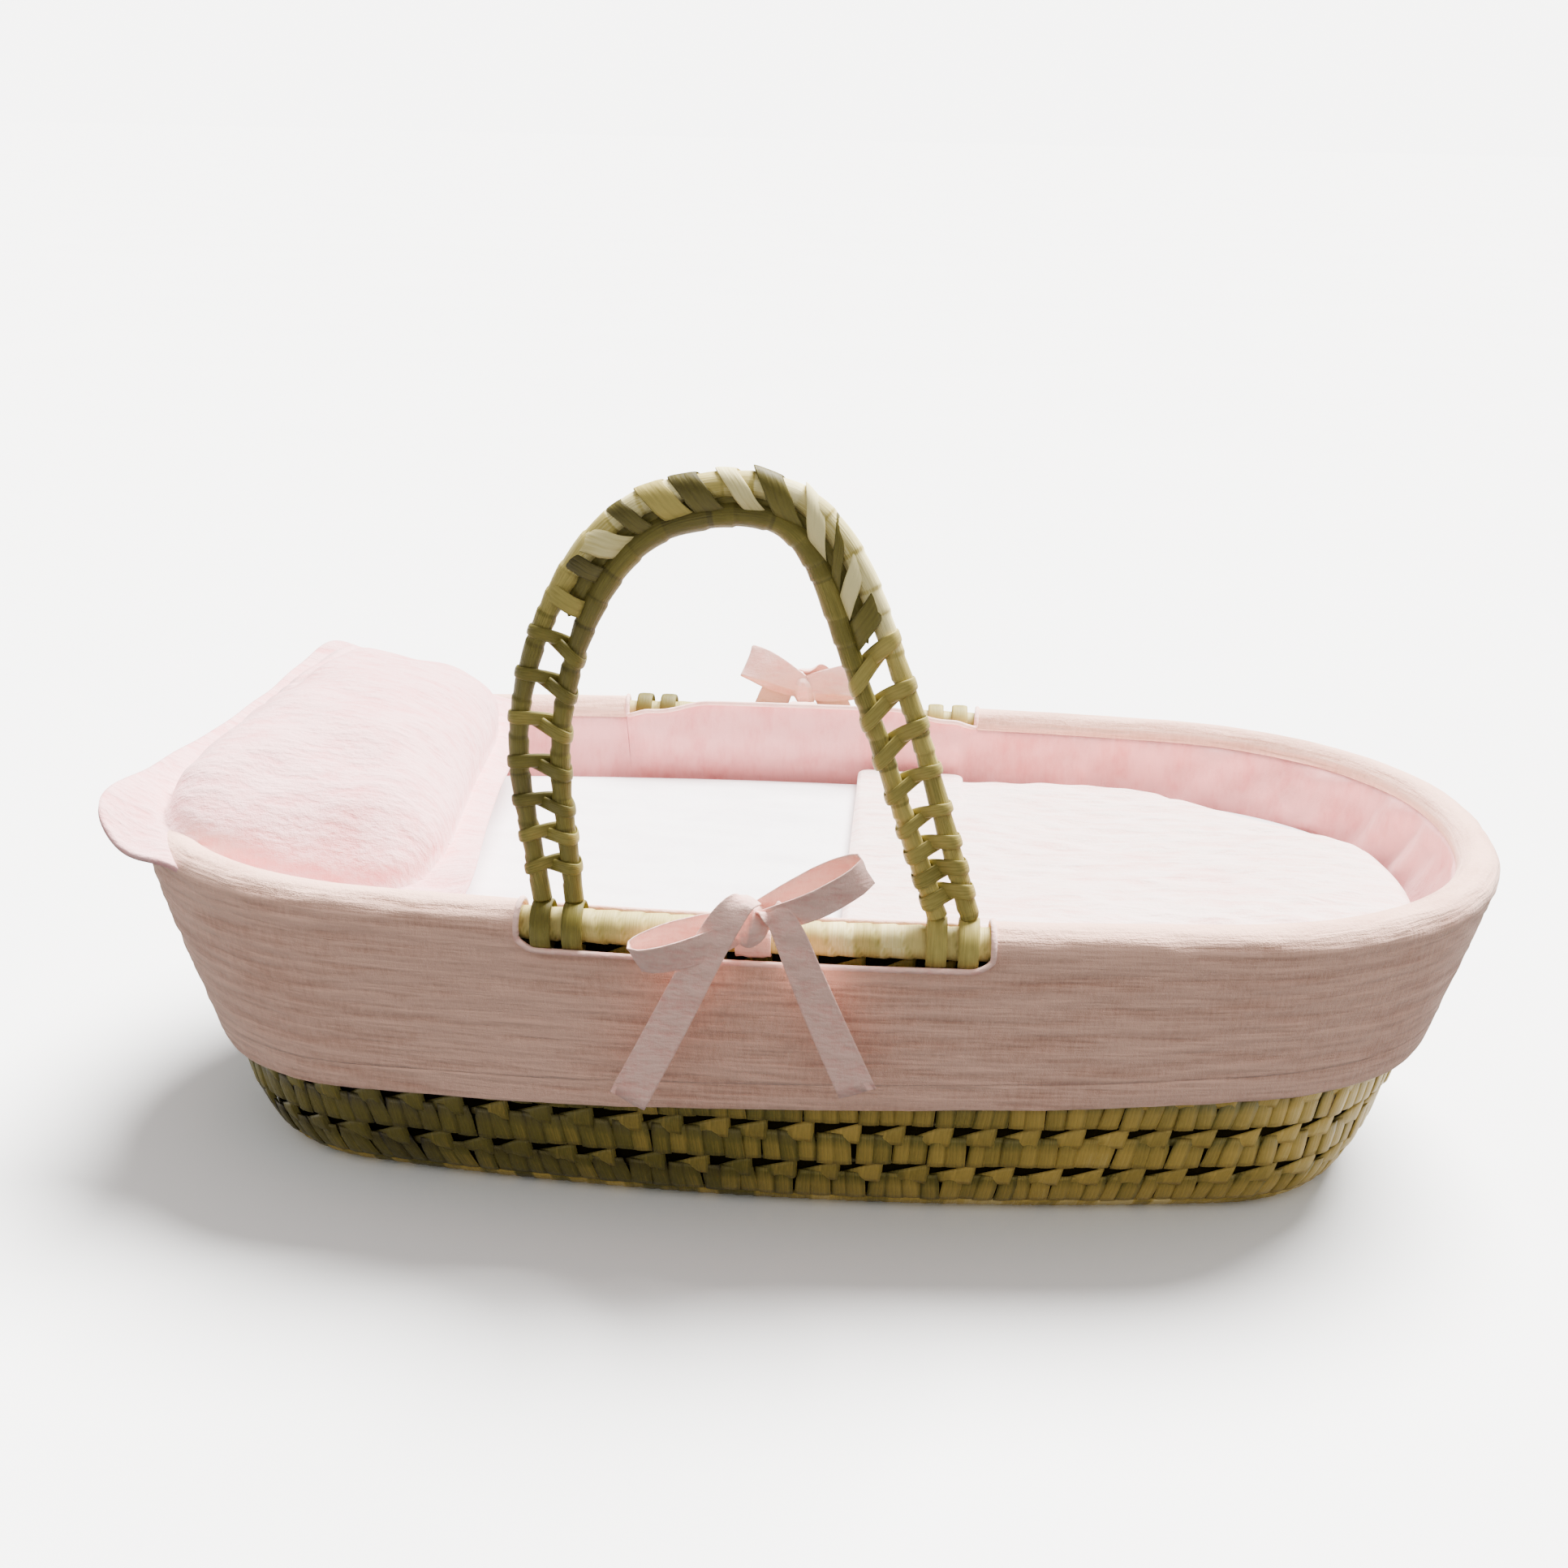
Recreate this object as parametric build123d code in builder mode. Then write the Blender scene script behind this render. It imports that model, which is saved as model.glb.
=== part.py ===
from build123d import *
import math
import os
from dataclasses import dataclass

# Moses basket of sewn palm plait, with a cloth cover, two fold-down handles and loose bedding.
# Origin: centre of the underside. +X runs to the foot end, -Y is the near side, +Z is up.
# All sizes are in millimetres.

# ---- Basket -------------------------------------------------------------------------
rim_half_length = 402.0        # centreline of the rim coil
rim_half_width = 212.0
rim_side_radius = 2000.0
rim_end_radius = 280.0
rim_corner_radius = 185.0
rim_height = 186.0             # centre of the rim coil above the ground
base_half_length = 340.0       # middle of the wall, carried down to the ground
base_half_width = 166.0
base_side_radius = 1500.0
base_end_radius = 230.0
base_corner_radius = 90.0
smallest_corner_share = 0.45   # of the half width, for the turns of the base
plait_thickness = 9.0
course_count = 6
base_turn_count = 4
base_turn_width = 28.0
ground_inset = 14.0            # how far the base's lower edge curls in under the wall
turn_up_inset = 6.0            # how far the first course starts inside the wall line
sewing_cord_radius = 1.5
rim_core_radius = 7.0
rim_wrapping_thickness = 2.5

# ---- Cloth cover --------------------------------------------------------------------
cloth_thickness = 2.0
cloth_gap = 1.0                # between the cloth and the plait
roll_gap = 0.8                 # between the cloth and the rim coil
roll_thickness = 2.7
skirt_gap = 3.0                # between the hanging skirt and the plait at the hem
lining_shoulder_drop = 21.0    # the lining leaves the wall this far under the rim's centre
hem_height_head = 60.0
hem_height_foot = 92.0
hem_band_height = 18.0
slot_end_gap = 5.5             # between a handle's feet and the ends of its slot
slot_drop = 19.0               # lower edge of a slot under the rim's centre
piping_radius = 1.6

# ---- Handles ------------------------------------------------------------------------
handle_centre_x = -20.0
handle_half_span = 105.0
handle_cord_radius = 7.0
eye_cord_radius = 3.0
eye_clearance = 2.0            # round the rim coil, inside each eye
far_handle_fold = 110.0        # degrees from upright, as the far handle is left
handle_rise = 237.0            # top corner of the arch over the hinge line
foot_spare = 1.5               # half the gap between a handle's two cords, at its feet
leg_spare = 4.0                # the same half way up the legs, where the links show
crown_spare = 0.4              # the same where the grip is bound
link_radius = 3.2
tie_thickness = 1.6
tie_length = 9.0
notch_clearance = 3.0

# ---- Tie ribbons --------------------------------------------------------------------
ribbon_width = 22.0
ribbon_thickness = 2.2
ribbon_gap = 0.6
knot_length = 26.0
knot_height = 24.0
knot_depth = 15.0
knot_lean = 50.0               # degrees that the knot stands above level, seen from the rim coil
loop_length = 60.0
loop_depth = 15.0
near_loop_angles = (204.0, 29.0)
far_loop_angles = (197.0, -14.0)
tail_drop = 92.0
tail_spreads = (-54.0, 46.0)

# ---- Bedding ------------------------------------------------------------------------
bedding_gap = 8.0              # between the mattress and the lining
bedding_drop = 38.0            # top of the mattress under the rim's centre
sheet_thickness = 1.2
layer_gap = 0.3
firm_layer_share = 0.52
quilt_thickness = 8.0
quilt_head_x = 25.0
quilt_inset = 1.5
cuff_length = 72.0
cuff_thickness = 5.0
pillow_length = 245.0          # along the basket, flange included
pillow_width = 344.0
pillow_flange = 30.0
pillow_thickness = 50.0
pillow_flange_thickness = 4.0
pillow_tilt = 15.0
pillow_case_thickness = 1.5
pillow_setback = 114.0         # middle of the pillow, in from the rim at the head end
pillow_shift = 8.0             # the pillow lies a little towards the far side
pillow_lift = 42.0             # middle of the pillow above the mattress
pillow_face_share = 0.55       # size of the flat of each face, beside the fullest section
pillow_corner_radius = 25.0
pillow_rim_clearance = 0.8

# ---- Worked-out values --------------------------------------------------------------
half_plait = plait_thickness / 2
rim_coil_radius = rim_core_radius + rim_wrapping_thickness
wall_top = rim_height - rim_coil_radius
course_pitch = (wall_top - plait_thickness) / course_count
roll_inner_radius = rim_coil_radius + roll_gap
roll_outer_radius = roll_inner_radius + roll_thickness
slot_low = rim_height - slot_drop
eye_radius = rim_coil_radius + eye_clearance + eye_cord_radius
foot_spread = handle_cord_radius + foot_spare
slot_half_length = handle_half_span + foot_spread + handle_cord_radius + slot_end_gap
wrap_inner_radius = rim_coil_radius + ribbon_gap
wrap_outer_radius = wrap_inner_radius + ribbon_thickness
shoulder_height = rim_height - lining_shoulder_drop
floor_bottom = plait_thickness + layer_gap
floor_top = floor_bottom + cloth_thickness
mattress_bottom = floor_top + layer_gap
mattress_top = rim_height - bedding_drop
pillow_centre = (pillow_setback - rim_half_length, pillow_shift, mattress_top + pillow_lift)


@dataclass
class Oval:
    """A long oval of eight tangent arcs: two sides, two ends and four corners."""

    half_length: float
    half_width: float
    side_radius: float
    end_radius: float
    corner_radius: float

    def grown(self, by):
        """The oval a distance outside this one, or inside it for a negative distance."""
        width = self.half_width + by
        corner = max(self.corner_radius + by, smallest_corner_share * width)
        length = self.half_length + by
        return Oval(length, width, self.side_radius + by, self.end_radius + by, corner)

    def corner_centre(self):
        """Centre of the corner arc, which touches the side arc and the end arc from inside."""
        side_y = self.half_width - self.side_radius
        end_x = self.half_length - self.end_radius
        to_side = self.side_radius - self.corner_radius
        to_end = self.end_radius - self.corner_radius
        span = math.hypot(end_x, side_y)
        along = (to_side**2 - to_end**2 + span**2) / (2 * span)
        across = math.sqrt(to_side**2 - along**2)
        ux, uy = end_x / span, -side_y / span
        return ux * along + uy * across, side_y + uy * along - ux * across

    def side_y(self, x):
        """Half width of the side arc at a distance x from the middle."""
        return self.half_width - self.side_radius + math.sqrt(self.side_radius**2 - x**2)


rim_oval = Oval(rim_half_length, rim_half_width, rim_side_radius, rim_end_radius, rim_corner_radius)
base_oval = Oval(base_half_length, base_half_width, base_side_radius, base_end_radius, base_corner_radius)


def wall_oval(height, out=0.0):
    """The middle of the leaning wall at a height, grown outwards by a distance."""
    share = height / rim_height
    low = vars(base_oval)
    high = vars(rim_oval)
    return Oval(**{key: low[key] + (high[key] - low[key]) * share for key in low}).grown(out)


def draw_oval(oval):
    """Draw an oval's eight arcs in the current line builder."""
    cx, cy = oval.corner_centre()
    side_y = oval.half_width - oval.side_radius
    end_x = oval.half_length - oval.end_radius
    side_turn = math.atan2(cy - side_y, cx)
    end_turn = math.atan2(cy, cx - end_x)
    side_point = (oval.side_radius * math.cos(side_turn), side_y + oval.side_radius * math.sin(side_turn))
    end_point = (end_x + oval.end_radius * math.cos(end_turn), oval.end_radius * math.sin(end_turn))
    middle_turn = (side_turn + end_turn) / 2
    corner_point = (cx + oval.corner_radius * math.cos(middle_turn),
                    cy + oval.corner_radius * math.sin(middle_turn))
    for way in (1, -1):
        ThreePointArc((-side_point[0], way * side_point[1]), (0, way * oval.half_width),
                      (side_point[0], way * side_point[1]))
        ThreePointArc((way * end_point[0], end_point[1]), (way * oval.half_length, 0),
                      (way * end_point[0], -end_point[1]))
    for x_way in (1, -1):
        for y_way in (1, -1):
            ThreePointArc((x_way * side_point[0], y_way * side_point[1]),
                          (x_way * corner_point[0], y_way * corner_point[1]),
                          (x_way * end_point[0], y_way * end_point[1]))


def lofted(*levels):
    """A solid that passes through a stack of ovals, each given as (height, oval)."""
    with BuildPart() as solid:
        for height, oval in levels:
            with BuildSketch(Plane.XY.offset(height)):
                with BuildLine():
                    draw_oval(oval)
                make_face()
        loft(ruled=True)
    return solid.part


def oval_tube(height, oval, radius, hole_radius=0.0):
    """A round rod, or a tube, that runs once round an oval."""
    with BuildPart() as tube:
        with BuildLine(Plane.XY.offset(height)) as route:
            draw_oval(oval)
        with BuildSketch(Plane(origin=route.line @ 0, z_dir=route.line % 0)):
            Circle(radius)
            if hole_radius > 0:
                Circle(hole_radius, mode=Mode.SUBTRACT)
        sweep()
    return tube.part


def save(part, name):
    """Label a finished piece and write its file."""
    part.label = name
    export_step(part, f"parts/{name}.step")


# ---- Base: turns of plait sewn edge to edge ---------------------------------------------
def base_outer(turn):
    """The outer edge of a turn at the ground and at the plait's upper face."""
    low = wall_oval(0, half_plait - ground_inset - turn * base_turn_width)
    high = wall_oval(plait_thickness, half_plait - turn_up_inset - turn * base_turn_width)
    return low, high


def make_base_turn(turn):
    """One flat oval turn of plait; the last is the solid middle."""
    low, high = base_outer(turn)
    with BuildPart() as base_turn:
        add(lofted((0, low), (plait_thickness, high)))
        if turn < base_turn_count:
            inner_low, inner_high = base_outer(turn + 1)
            add(lofted((0, inner_low), (plait_thickness, inner_high)), mode=Mode.SUBTRACT)
    return base_turn.part


# ---- Wall: courses of plait one above the other -----------------------------------------
def course_bottom(course):
    """Height of the lower edge of a course, counted from 0."""
    return plait_thickness + course * course_pitch


def course_curl(course):
    """How far the wall is drawn in at the lower edge of a course."""
    return turn_up_inset if course == 0 else 0.0


def sewing_line(course):
    """Height and oval of the sewing cord under a course."""
    height = course_bottom(course)
    return height, wall_oval(height, -course_curl(course))


def handle_line_y(side):
    """Y of a handle's hinge line: the mean place of the rim coil between its feet."""
    feet = [rim_oval.side_y(handle_centre_x + way * handle_half_span) for way in (1, -1)]
    return side * sum(feet) / 2


def make_wall_course(course):
    """One course of plait, grooved for its sewing cords; the top one is notched for the eyes."""
    low = course_bottom(course)
    high = low + course_pitch
    curl = course_curl(course)
    with BuildPart() as wall_course:
        add(lofted((low, wall_oval(low, half_plait - curl)), (high, wall_oval(high, half_plait))))
        add(lofted((low, wall_oval(low, -half_plait - curl)), (high, wall_oval(high, -half_plait))),
            mode=Mode.SUBTRACT)
        for seam in range(max(course, 1), min(course + 2, course_count)):
            height, oval = sewing_line(seam)
            add(oval_tube(height, oval, sewing_cord_radius), mode=Mode.SUBTRACT)
        if course == course_count - 1:
            depth = eye_radius + eye_cord_radius - rim_coil_radius + notch_clearance
            eye_half = foot_spread + eye_cord_radius + notch_clearance
            wrap_half = ribbon_width / 2 + notch_clearance
            for side in (-1, 1):
                y = side * rim_half_width
                for x, half in ((-handle_half_span, eye_half), (0, wrap_half),
                                (handle_half_span, eye_half)):
                    with Locations((handle_centre_x + x, y, high - depth / 2)):
                        Box(2 * half, 4 * plait_thickness, depth, mode=Mode.SUBTRACT)
    return wall_course.part


def make_sewing_cords():
    """The cords that lace the courses together, one between each two courses."""
    with BuildPart() as cords:
        for seam in range(1, course_count):
            height, oval = sewing_line(seam)
            add(oval_tube(height, oval, sewing_cord_radius))
    return cords.part


# ---- Rim coil -----------------------------------------------------------------------------
def make_rim_core():
    """The bundle of leaf stalks inside the rim coil."""
    return oval_tube(rim_height, rim_oval, rim_core_radius)


def make_rim_wrapping():
    """The leaf strip wound round the bundle."""
    return oval_tube(rim_height, rim_oval, rim_coil_radius, rim_core_radius)


# ---- Cloth cover --------------------------------------------------------------------------
def cut_slots():
    """Cut both handle slots out of the current part builder."""
    for side in (-1, 1):
        height = 4 * rim_coil_radius
        with Locations((handle_centre_x, side * rim_half_width, slot_low + height / 2)):
            Box(2 * slot_half_length, 8 * rim_coil_radius, height, mode=Mode.SUBTRACT)


def lining_levels(extra):
    """Stack of ovals of the lining's wall side, moved inwards by a distance."""
    foot = course_bottom(1)
    face = -half_plait - cloth_gap - extra
    return ((floor_bottom, wall_oval(floor_bottom, face - turn_up_inset)), (foot, wall_oval(foot, face)),
            (shoulder_height, wall_oval(shoulder_height, face)),
            (rim_height, wall_oval(rim_height, -roll_inner_radius - extra)))


def make_cover_lining():
    """The upright lining, from the base to the inner side of the rim."""
    with BuildPart() as lining:
        add(lofted(*lining_levels(0)))
        add(lofted(*lining_levels(cloth_thickness)), mode=Mode.SUBTRACT)
        cut_slots()
    return lining.part


def make_cover_floor():
    """The lining's floor panel, over the base."""
    inset = half_plait + cloth_gap + turn_up_inset + cloth_thickness + layer_gap
    return lofted((floor_bottom, wall_oval(floor_bottom, -inset)),
                  (floor_top, wall_oval(floor_top, -inset)))


def make_cover_rim_roll():
    """The cloth that rolls over the rim coil, open at the two handle slots."""
    with BuildPart() as roll:
        add(oval_tube(rim_height, rim_oval, roll_outer_radius, roll_inner_radius))
        split(bisect_by=Plane.XY.offset(rim_height), keep=Keep.TOP)
        cut_slots()
    return roll.part


def hem_plane(lift):
    """The slanted plane of the hem, raised by a distance."""
    rise = (hem_height_foot - hem_height_head) / (2 * rim_half_length)
    middle = (hem_height_foot + hem_height_head) / 2 + lift
    return Plane(origin=(0, 0, middle), z_dir=(-rise, 0, 1))


def skirt_out(height):
    """How far the skirt's outer face stands outside the middle of the wall at a height."""
    low = hem_height_head - hem_band_height
    share = (height - low) / (rim_height - low)
    at_low = half_plait + skirt_gap + cloth_thickness
    return at_low + (roll_outer_radius - at_low) * share


def skirt_sheet():
    """The whole hanging skirt, before its hem is cut."""
    low = hem_height_head - hem_band_height
    with BuildPart() as sheet:
        add(lofted((low, wall_oval(low, skirt_out(low))),
                   (rim_height, wall_oval(rim_height, roll_outer_radius))))
        add(lofted((low, wall_oval(low, skirt_out(low) - cloth_thickness)),
                   (rim_height, wall_oval(rim_height, roll_inner_radius))), mode=Mode.SUBTRACT)
        cut_slots()
    return sheet.part


def make_cover_skirt():
    """The skirt from the rim down to its hem band."""
    with BuildPart() as skirt:
        add(skirt_sheet())
        split(bisect_by=hem_plane(hem_band_height), keep=Keep.TOP)
    return skirt.part


def make_cover_hem():
    """The doubled band along the lower edge of the skirt."""
    with BuildPart() as hem:
        add(skirt_sheet())
        split(bisect_by=hem_plane(hem_band_height), keep=Keep.BOTTOM)
        split(bisect_by=hem_plane(0), keep=Keep.TOP)
    return hem.part


def make_slot_piping(side):
    """The piped edge along the foot of a slot, lying on the skirt's outer face."""
    height = slot_low - piping_radius
    edge = wall_oval(height, skirt_out(height) + piping_radius + layer_gap)
    half = slot_half_length - piping_radius
    places = [handle_centre_x + way * half for way in (-1, 0, 1)]
    with BuildPart() as piping:
        with BuildLine(Plane.XY.offset(height)) as route:
            ThreePointArc(*[(x, side * edge.side_y(x)) for x in places])
        with BuildSketch(Plane(origin=route.line @ 0, z_dir=route.line % 0)):
            Circle(piping_radius)
        sweep()
    return piping.part


# ---- Tie ribbons: one bow at each slot ------------------------------------------------------
def tail_back_y():
    """Y of the back of a ribbon tail at the rim's height, clear of the skirt and its piping."""
    return rim_half_width + skirt_out(rim_height) + 2 * piping_radius + 2 * layer_gap


def loop_plane(side):
    """The upright plane through the middle of a bow's loops, in front of its tails."""
    y = tail_back_y() + ribbon_thickness + 2 * layer_gap + loop_depth / 2
    return Plane(origin=(handle_centre_x, side * y, rim_height), x_dir=(-side, 0, 0), z_dir=(0, side, 0))


def knot_plane(side):
    """The plane of a knot's back, square to the line from the rim coil's centre."""
    lean = math.radians(knot_lean)
    out = (0, side * math.cos(lean), math.sin(lean))
    reach = wrap_outer_radius + layer_gap
    origin = (handle_centre_x, side * rim_half_width + out[1] * reach, rim_height + out[2] * reach)
    return Plane(origin=origin, x_dir=(-side, 0, 0), z_dir=out)


def make_tie_wrap(side):
    """The ribbon's turn round the rim coil, behind the knot."""
    centre = (handle_centre_x - ribbon_width / 2, side * rim_oval.side_y(handle_centre_x), rim_height)
    with BuildPart() as wrap:
        with BuildSketch(Plane(origin=centre, z_dir=(1, 0, 0))):
            Circle(wrap_outer_radius)
            Circle(wrap_inner_radius, mode=Mode.SUBTRACT)
        extrude(amount=ribbon_width)
    return wrap.part


def make_tie_knot(side):
    """The knot on the outer shoulder of the rim coil."""
    back = knot_plane(side)
    with BuildPart() as knot:
        with BuildSketch(back):
            RectangleRounded(knot_length, knot_height, knot_height / 4)
        extrude(amount=knot_depth)
        front = knot.faces().sort_by(Axis(back.origin, back.z_dir))[-1]
        fillet(front.edges(), knot_depth / 4)
    return knot.part


def make_tie_loop(side, angle):
    """A flat loop of ribbon that leaves the knot at an angle, measured from its right."""
    turn = math.radians(angle)
    face = loop_plane(side)
    along = face.x_dir * math.cos(turn) + face.y_dir * math.sin(turn)
    across = face.z_dir.cross(along)
    reach = knot_length / 2 + layer_gap + loop_length / 2
    knot_rise = (wrap_outer_radius + knot_depth / 2) * math.sin(math.radians(knot_lean))
    centre = face.origin + face.y_dir * knot_rise + along * reach - across * ribbon_width / 2
    with BuildPart() as loop:
        with BuildSketch(Plane(origin=centre, x_dir=along, z_dir=across)):
            Ellipse(loop_length / 2, loop_depth / 2)
            Ellipse(loop_length / 2 - ribbon_thickness, loop_depth / 2 - ribbon_thickness,
                    mode=Mode.SUBTRACT)
        extrude(amount=ribbon_width)
    return loop.part


def make_tie_tail(side, spread):
    """A ribbon end that hangs from the knot, flat against the skirt, and spreads to one side."""
    foot = rim_height - tail_drop
    top_y = rim_half_width + skirt_out(rim_height)
    foot_y = wall_oval(foot).half_width + skirt_out(foot)
    slope = (top_y - foot_y) / tail_drop
    face = Plane(origin=(handle_centre_x, side * tail_back_y(), rim_height), x_dir=(-side, 0, 0),
                 z_dir=(0, side, -slope))
    way = math.copysign(1, spread)
    start = way * (ribbon_width / 2 + layer_gap)
    length = tail_drop * math.hypot(1, slope)
    half = ribbon_width / 2
    with BuildPart() as tail:
        with BuildSketch(face):
            with BuildLine():
                Polyline((start - half, 0), (start + half, 0), (start + spread + half, -length),
                         (start + spread - half, -length), close=True)
            make_face()
        extrude(amount=ribbon_thickness)
    return tail.part


# ---- Handles ----------------------------------------------------------------------------------
arch_corners = ((-1.0, None), (-1.14, 0.51), (-0.74, 0.92), (-0.08, 1.0), (0.3, 0.93), (0.59, 0.61),
                (1.0, None))
cord_spares = (foot_spare, leg_spare, 3 * crown_spare, crown_spare, 2 * crown_spare, leg_spare,
               foot_spare)
link_places = (0.05, 0.11, 0.17, 0.23, 0.29, 0.71, 0.77, 0.83, 0.89, 0.95)
tie_places = (0.36, 0.42, 0.48, 0.54, 0.6, 0.66)
arc_share = 0.45               # of the shorter run, that a corner's arc may use


def bend_radii(points, share):
    """The largest arc at each corner that leaves the runs beside it room, with their turns."""
    runs = [b - a for a, b in zip(points, points[1:])]
    turns = [math.radians(before.get_angle(after)) for before, after in zip(runs, runs[1:])]
    reaches = [share * min(before.length, after.length) for before, after in zip(runs, runs[1:])]
    return [reach / math.tan(turn / 2) for reach, turn in zip(reaches, turns)], turns


def arch_route(way):
    """Corner points and radii of the arch's middle line, or of its outer or inner cord."""
    foot = eye_radius
    middle = [Vector(u * handle_half_span, foot if v is None else v * handle_rise) for u, v in arch_corners]
    gaps = [handle_cord_radius + spare for spare in cord_spares]
    middle_radii, turns = bend_radii(middle, arc_share)
    points = [middle[0] - Vector(way * gaps[0], 0)]
    for before, corner, after, turn, gap in zip(middle, middle[1:], middle[2:], turns, gaps[1:]):
        along = (corner - before).normalized() + (after - corner).normalized()
        outward = along.rotate(Axis.Z, 90).normalized()
        points.append(corner + outward * (way * gap / math.cos(turn / 2)))
    points.append(middle[-1] + Vector(way * gaps[-1], 0))
    own_radii, _ = bend_radii(points, arc_share)
    radii = [min(own, round_middle + way * gap)
             for own, round_middle, gap in zip(own_radii, middle_radii, gaps[1:])]
    return [(point.X, point.Y) for point in points], radii


def handle_plane(side, fold):
    """The plane of a handle's arch, hinged at the rim and folded outwards from upright, in degrees."""
    turn = math.radians(fold)
    x_dir = Vector(-side, 0, 0)
    up = Vector(0, side * math.sin(turn), math.cos(turn))
    origin = (handle_centre_x, handle_line_y(side), rim_height)
    return Plane(origin=origin, x_dir=x_dir, z_dir=x_dir.cross(up))


def arch_line(side, fold, way):
    """The line of a handle's arch in its plane: way is 1 outer cord, -1 inner cord, 0 middle."""
    points, radii = arch_route(way)
    with BuildLine(handle_plane(side, fold)) as route:
        FilletPolyline(*points, radius=radii)
    return route.wire()


def make_handle_cord(side, fold, way):
    """One of a handle's two cords, with an eye round the rim coil at each end."""
    route = arch_line(side, fold, way)
    with BuildPart() as cord:
        with BuildSketch(Plane(origin=route @ 0, z_dir=route % 0)):
            Circle(handle_cord_radius)
        sweep(path=route)
        for end in (-1, 1):
            x = handle_centre_x + end * (handle_half_span + way * foot_spread)
            with Locations((x, handle_line_y(side), rim_height)):
                Torus(eye_radius, eye_cord_radius, rotation=(0, 90, 0))
    return cord.part


def make_handle_links(side, fold):
    """The short links between the two cords of the legs."""
    outer = arch_line(side, fold, 1)
    inner = arch_line(side, fold, -1)
    with BuildPart() as links:
        for place in link_places:
            start = outer @ place
            reach = inner @ place - start
            with BuildSketch(Plane(origin=start, z_dir=reach)):
                Circle(link_radius)
            extrude(amount=reach.length)
    return links.part


def make_handle_ties(side, fold):
    """The leaf lashings that bind the two cords together along the grip."""
    middle = arch_line(side, fold, 0)
    across = handle_plane(side, fold).z_dir
    separation = 2 * (handle_cord_radius + crown_spare)
    with BuildPart() as ties:
        for place in tie_places:
            along = middle % place
            origin = middle @ place - along * tie_length / 2
            with BuildSketch(Plane(origin=origin, x_dir=across.cross(along), z_dir=along)):
                SlotCenterToCenter(separation, 2 * (handle_cord_radius + tie_thickness))
                SlotCenterToCenter(separation, 2 * handle_cord_radius, mode=Mode.SUBTRACT)
            extrude(amount=tie_length)
    return ties.part


# ---- Mattress -----------------------------------------------------------------------------------
def mattress_level(height, shrink):
    """The mattress's oval at a height, drawn in by a distance."""
    share = (height - mattress_bottom) / (mattress_top - mattress_bottom)
    lining_face = half_plait + cloth_gap + cloth_thickness
    at_bottom = lining_face + turn_up_inset + bedding_gap / 2
    at_top = lining_face + bedding_gap
    return height, wall_oval(height, -(at_bottom + (at_top - at_bottom) * share) - shrink)


def make_mattress_sheet():
    """The fitted sheet, closed round the mattress."""
    inner_low = mattress_bottom + sheet_thickness
    inner_high = mattress_top - sheet_thickness
    with BuildPart() as sheet:
        add(lofted(mattress_level(mattress_bottom, 0), mattress_level(mattress_top, 0)))
        add(lofted(mattress_level(inner_low, sheet_thickness), mattress_level(inner_high, sheet_thickness)),
            mode=Mode.SUBTRACT)
    return sheet.part


def mattress_layer(keep):
    """The foam inside the sheet, above or below the level where the two layers meet."""
    shrink = sheet_thickness + layer_gap
    low = mattress_bottom + shrink
    high = mattress_top - shrink
    with BuildPart() as layer:
        add(lofted(mattress_level(low, shrink), mattress_level(high, shrink)))
        split(bisect_by=Plane.XY.offset(low + firm_layer_share * (high - low)), keep=keep)
    return layer.part


def make_mattress_firm_layer():
    """The firm foam at the bottom of the mattress."""
    return mattress_layer(Keep.BOTTOM)


def make_mattress_soft_layer():
    """The soft foam on top of the firm layer."""
    return mattress_layer(Keep.TOP)


# ---- Quilt ---------------------------------------------------------------------------------------
def quilt_slab(low, thickness, length):
    """A slab over the foot end of the mattress, of a length from the quilt's head edge."""
    height, oval = mattress_level(mattress_top, quilt_inset)
    with BuildPart() as slab:
        with BuildSketch(Plane.XY.offset(low)):
            with BuildLine():
                draw_oval(oval)
            make_face()
            with Locations((quilt_head_x + length / 2, 0)):
                Rectangle(length, 2 * height + 2 * oval.half_width, mode=Mode.INTERSECT)
        extrude(amount=thickness)
    return slab.part


def make_quilt():
    """The quilt over the foot end."""
    return quilt_slab(mattress_top + layer_gap, quilt_thickness, rim_half_length - quilt_head_x)


def make_quilt_cuff():
    """The quilt's turned-back head edge."""
    return quilt_slab(mattress_top + quilt_thickness + 2 * layer_gap, cuff_thickness, cuff_length)


# ---- Pillow --------------------------------------------------------------------------------------
def pillow_plane(lift):
    """The pillow's middle plane, its head side raised, moved up by a distance."""
    turn = math.radians(pillow_tilt)
    plane = Plane(origin=pillow_centre, x_dir=(math.cos(turn), 0, -math.sin(turn)),
                  z_dir=(math.sin(turn), 0, math.cos(turn)))
    return plane.offset(lift)


def pillow_body(grow):
    """A full cushion shape, larger all round by a distance."""
    length = pillow_length - 2 * pillow_flange
    width = pillow_width - 2 * pillow_flange
    half = pillow_thickness / 2 + grow
    with BuildPart() as body:
        for lift, share in ((-half, pillow_face_share), (0, 1), (half, pillow_face_share)):
            with BuildSketch(pillow_plane(lift)):
                RectangleRounded(share * (length + 2 * grow), share * (width + 2 * grow),
                                 share * pillow_corner_radius)
        loft(ruled=True)
    return body.part


def rim_saddle():
    """The space that the covered rim needs under the pillow."""
    return oval_tube(rim_height, rim_oval, roll_outer_radius + pillow_rim_clearance)


def make_pillow_insert():
    """The filling inside the pillow case."""
    with BuildPart() as insert:
        add(pillow_body(-pillow_case_thickness - layer_gap))
        add(rim_saddle(), mode=Mode.SUBTRACT)
    return insert.part


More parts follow.
